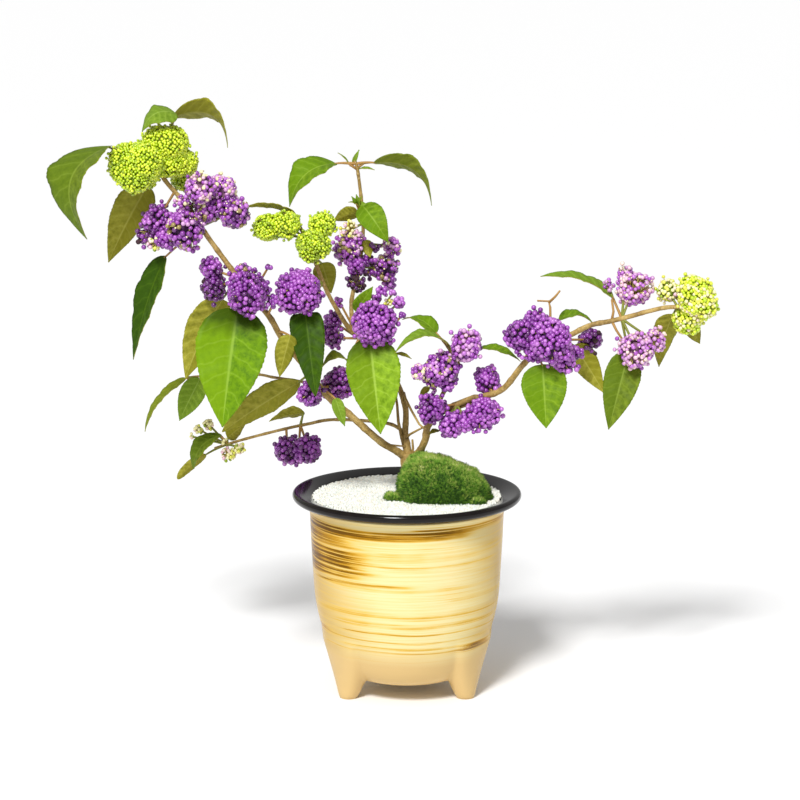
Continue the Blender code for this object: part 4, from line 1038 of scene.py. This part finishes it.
# The middle stem's fork. The brightest cyme of the tree, a broad leaf hanging from it over the trunk, and
# loose small cymes to its right.
grow_mass("middle_mass", "MIDDLE", 4, 5, [
    ((-24, -6, 236), (-17, -18, 175), 35, 3, FRONT, "sunny"),
    ((-33, 6, 251), (-22, 2, 268), 10, 1, FRONT, "bright"),
    ((-8, 8, 223), (3, 6, 220), 5, 1, UP, "olive"),
    ((-38, 10, 217), (-55, 4, 215), 12, 6, UP, "moor"),
], [
    ((-22, -10, 245), 14.6, "violet"), ((-16, 2, 265), 5, "violet"), ((-5, 0, 258), 5, "violet"),
    ((-3, 0, 250), 3, "ripe", 0.75), ((-9, 1, 264), 4, "violet", 0.75), ((-12, 2, 257), 4.5, "straw", 0.5),
    ((-48.5, 20, 243), 7, "ripe"), ((-49, 20, 232), 8, "ripe"), ((-44, 12, 257), 4.5, "ripe", 0.6),
    ((-20, 4, 259), 4.5, "ripe"),
])

# The middle stem's left arm, low. One round purple cyme over a dark leaf that hangs straight down.
grow_mass("middle_left_mass", "MIDDLE_LEFT", 2, 3, [
    ((-65, -18, 254), (-58, -36, 203), 22, 2, FRONT, "dark", {"widest": 0.2, "slender": 1.0}),
], [
    ((-68, -22, 269), 15.2, "violet"),
])

# The middle stem's left arm, at its tip. Unripe lime cymes in two groups, a leaf seen edge on and a rounded
# one turned under side out.
grow_mass("middle_left_top_mass", "MIDDLE_LEFT", 3, 5, [
    ((-71, -2, 314), (-104, -4, 320), 12, 3, UP_BACK, "moor"),
    ((-55, 5, 283), (-49, 8, 263), 15, 1, BACK, "olive"),
], [
    ((-89, -10, 307), 9.5, "lime"), ((-76, -12, 310), 9.5, "lime"), ((-55, -4, 308), 9.5, "lime"),
    ((-60, -14, 297.6), 11, "lime_shade"),
])

# The middle stem's right arm. Loose purple cymes on both sides of the stem, some berries still pale at the
# top and some withered, with a bright leaf above them.
grow_mass("middle_right_mass", "MIDDLE_RIGHT", 1, 4, [
    ((-29, 26, 318), (-12, 16, 295), 18, 6, FRONT, "bright"),
    ((-32, 34, 313), (-48, 36, 307), 11, 1, BACK, "moor"),
    ((-31, 30, 317), (-33, 28, 325), 4, 1, FRONT, "fresh"),
    ((-31, 29, 316), (-29, 26, 324), 4, 1, UP_LEFT, "fresh"),
    ((-32, 29, 317), (-38, 26, 320), 4, 1, UP, "fresh"),
    ((-31, 28, 318), (-26, 25, 319), 4, 1, FRONT, "fresh"),
    ((-33, 28, 319), (-36, 25, 324), 3, 1, FRONT, "bright"),
    ((-27, 30, 295), (-24, 26, 284), 8, 1, BACK, "olive"),
], [
    ((-39, 24, 289), 9.5, "mixed"), ((-38, 27, 301), 7, "straw", 0.6), ((-34, 28, 296), 6.5, "turning"),
    ((-33, 22, 279), 7, "ripe"), ((-26, 30, 281), 6, "dark", 0.7), ((-14, 34, 276), 9.5, "mixed", 0.9),
    ((-9.8, 34, 290.4), 7, "turning", 0.85), ((-21, 30, 290), 5, "dark", 0.6),
    ((-24, 32, 272), 5, "dark", 0.6), ((-33, 22, 268), 7, "withered", 0.7), ((-11, 36, 265), 5, "ripe"),
])

# The middle stem's top. A pair of leaves that arch away to either side, under three small new ones at
# the tip.
grow_mass("top_mass", "MIDDLE_RIGHT", 5, 6, [
    ((-46, 28, 345), (-76, 18, 318), 26, 10, UP_LEFT, "bright"),
    ((-22, 32, 345), (16, 24, 318), 21, 13, UP_BACK, "moor", {"under": "moor"}),
    ((-37, 30, 343), (-45, 28, 352), 3, 1, UP, "fresh"),
    ((-35, 30, 345), (-31, 28, 354), 3, 1, FRONT, "fresh"),
    ((-32, 30, 341), (-21, 26, 341), 4, 1, UP, "fresh"),
], (), [
    [(-33, 29.5, 341.5), (-38, 28.6, 345), (-45, 28, 345.4)],
    [(-33, 29.5, 341.5), (-28, 31, 345), (-23, 32, 345.4)],
])

# The centre shoot. Purple and lilac cymes beside the trunk, with narrow leaves that arch out above them.
grow_mass("centre_mass", "CENTRE", 2, 4, [
    ((27, -14, 232), (-8, -26, 229), 12, 10, UP, "fresh"),
    ((19, -8, 239), (-3, 11, 245), 13, 5, UP, "bright"),
    ((14, -8, 204), (8, -6, 195), 5, 1, BACK, "olive"),
    ((47, -14, 230), (73, -10, 221), 12, 3, UP, "bright"),
], [
    ((21, -18, 217), 12.4, "mixed"), ((7, -22, 216), 6, "turning", 0.85), ((38, -16, 232), 11, "lilac"),
    ((26, -18, 208), 6, "ripe"),
])

# The right stem's first length. Purple cymes in a bunch low over the pot's rim.
grow_mass("right_inner_mass", "RIGHT", 3, 6, [
    ((21, -12, 176), (14, -16, 174), 5, 1, UP, "olive"),
], [
    ((52, -8, 209), 9.5, "ripe"), ((16, -24, 193), 10.5, "ripe"), ((29, -22, 182), 9.5, "violet"),
    ((49, -22, 190), 11.5, "violet"), ((39, -24, 185), 8, "violet"),
])

# The right stem's middle. A wide purple cyme made of several balls, a bare forked spur above it, a broad
# leaf below and one turned under side out.
grow_mass("right_middle_mass", "RIGHT", 7, 9, [
    ((86, -32, 223), (88, -44, 184), 29, 1, FRONT, "bright"),
    ((107, -18, 233), (127, -14, 201), 17, 5, BACK, "gold"),
    ((97, -14, 249), (120, -12, 245), 15, 5, UP, "bright"),
], [
    ((72, -32, 242), 11, "ripe"), ((82, -28, 248), 9.5, "ripe"), ((89, -38, 240), 14.6, "violet"),
    ((98, -34, 228), 10.5, "violet"), ((107, -28, 230), 6, "ripe"), ((118, -8, 235), 8.5, "dark"),
    ((80, -32, 232), 8, "ripe"),
], [
    [(93, -26, 237), (91, -25, 252), (91, -23, 258), (90, -22, 262), (83, -20, 262)],
    [(90, -22, 261), (94, -23, 265), (97, -24, 269)],
])

# The right stem's outer pair of nodes. Lilac cymes above and below the stem on short arms, with a light
# leaf over the top and a darker one hanging.
grow_mass("right_outer_mass", "RIGHT", 11, 12, [
    ((131, -22, 264), (85, -16, 277), 18, 6, UP, "fresh"),
    ((141, -26, 230), (128, -38, 182), 23, 2, FRONT, "mid"),
], [
    ((144, -22, 270), 12, "pale", 0.78), ((139, -20, 278), 7, "pale", 0.78),
    ((128, -18, 271), 5, "pale", 0.7), ((146, -34, 232), 12, "pale", 0.9),
    ((157, -30, 238), 8, "pale", 0.78),
], [
    [(130, -26, 250.4), (131, -25.4, 256), (130, -24, 263), (131, -23, 264.6)],
    [(130, -26, 250), (133, -27, 244), (137, -28, 238), (141, -27, 231)],
])

# The right stem's tip. Yellow-green cymes that begin to blush, with two leaves behind them turned under
# side out.
grow_mass("right_tip_mass", "RIGHT", 14, 15, [
    ((170, -18, 253), (162, -12, 218), 17, 4, BACK, "olive"),
    ((181, -16, 246), (188, -12, 233), 10, 1, BACK, "olive"),
], [
    ((166, -20, 268), 8, "straw"), ((183, -30, 264), 13.5, "yellow"), ((179, -24, 251), 10.5, "yellow"),
    ((180, -26, 272), 9, "yellow"),
])

# The low side shoot, half way out. A purple cyme that hangs under the shoot, and a narrow brown-green leaf.
grow_mass("low_middle_mass", "LOW", 3, 4, [
    ((-69, 56, 175), (-93, 60, 168), 14, 1, UP_BACK, "brown"),
], [
    ((-80.5, 56, 148.3), 10, "ripe"), ((-66, 50, 151), 10, "ripe"), ((-73, 51, 148.6), 9, "ripe"),
])

# The low side shoot's tip. A few straw-coloured berries in thin cymes, between curled dark leaves.
grow_mass("low_tip_mass", "LOW", 5, 6, [
    ((-126, 69, 157), (-145, 65, 134), 15, 7, UP_LEFT, "mid", {"widest": 0.45, "slender": 1.1}),
    ((-137, 72, 142.6), (-157, 74, 125), 8, 2, BACK, "olive", {"widest": 0.5, "slender": 1.0}),
    ((-122, 71, 154.4), (-110, 76, 163), 12, 1, BACK, "moor"),
], [
    ((-134.5, 70, 164), 4.6, "straw", 0.7), ((-142, 72, 160.5), 4, "straw", 0.6),
    ((-147, 73, 155), 3, "straw", 0.6), ((-121, 68, 143.6), 6, "straw", 0.65),
    ((-113.5, 68, 148), 4.8, "straw", 0.65), ((-124, 70, 152), 3, "straw", 0.7),
])

# The back side shoot's tip. A narrow leaf that arches to the left and a wider one hanging beside it.
grow_mass("behind_tip_mass", "BEHIND", 4, 5, [
    ((-148, 52, 199), (-177, 60, 161), 10, 6, UP_LEFT, "moor"),
    ((-138, 46, 200), (-152, 42, 172), 17, 1, FRONT, "fresh"),
])

# The studio. A pale floor that runs out of sight into a white distance, a soft sun high at the left of the
# front, a weak soft box in front and pale air all round. The camera looks down a little, from the front.
FLOOR_SIDE, SIGHT = 240.0, 300.0
WHITE_LIGHT, HAZE = (1.0, 1.0, 1.0, 1.0), 0.45
SUN_FROM_UPRIGHT, SUN_TO_LEFT, SUN_STRENGTH, SUN_SOFTNESS = 43, 18, 2.75, 12
SOFT_BOX_PLACE, SOFT_BOX_AIM, SOFT_BOX_SIDE, SOFT_BOX_WATTS = (-0.25, -1.25, 1.15), (0, 0, 0.2), 0.35, 5.0
CAMERA_PLACE, CAMERA_PITCH, LENS, SENSOR = (-4.5, -1553.0, 484.6), 10.6, 109.4, 36.0

start_shape()
bpy.ops.mesh.primitive_plane_add(size=FLOOR_SIDE, location=(0, 0, 0))
floor = bpy.context.object
floor.name = "studio_floor"
floor.data.materials.append(plain_finishes({"pale_floor": (252, 252, 252)}, 0.7)[0])

air = bpy.data.worlds.new("pale_air")
air.use_nodes = True
tree = air.node_tree
haze = tree.nodes["Background"]
haze.inputs["Color"].default_value = WHITE_LIGHT
haze.inputs["Strength"].default_value = HAZE
distance = node(tree, "ShaderNodeBackground", {"Color": WHITE_LIGHT, "Strength": 1.0})
looked_at = node(tree, "ShaderNodeLightPath").outputs["Is Camera Ray"]
sky = node(tree, "ShaderNodeMixShader", {0: looked_at, 1: haze.outputs[0], 2: distance.outputs[0]})
tree.links.new(sky.outputs[0], tree.nodes["World Output"].inputs["Surface"])
bpy.context.scene.world = air

sun_turn = (math.radians(SUN_FROM_UPRIGHT), 0, math.radians(-SUN_TO_LEFT))
bpy.ops.object.light_add(type="SUN", rotation=sun_turn)
sun = bpy.context.object
sun.data.energy = SUN_STRENGTH
sun.data.angle = math.radians(SUN_SOFTNESS)

bpy.ops.object.light_add(type="AREA", location=SOFT_BOX_PLACE)
soft_box = bpy.context.object
soft_box.data.size = SOFT_BOX_SIDE
soft_box.data.energy = SOFT_BOX_WATTS
soft_box.rotation_euler = (Vector(SOFT_BOX_AIM) - soft_box.location).to_track_quat("-Z", "Y").to_euler()

level = math.radians(90 - CAMERA_PITCH)
bpy.ops.object.camera_add(location=place(CAMERA_PLACE), rotation=(level, 0, 0))
camera = bpy.context.object
camera.data.lens = LENS
camera.data.sensor_width = SENSOR
camera.data.clip_end = SIGHT
bpy.context.scene.camera = camera
bpy.context.scene.view_settings.view_transform = "Standard"
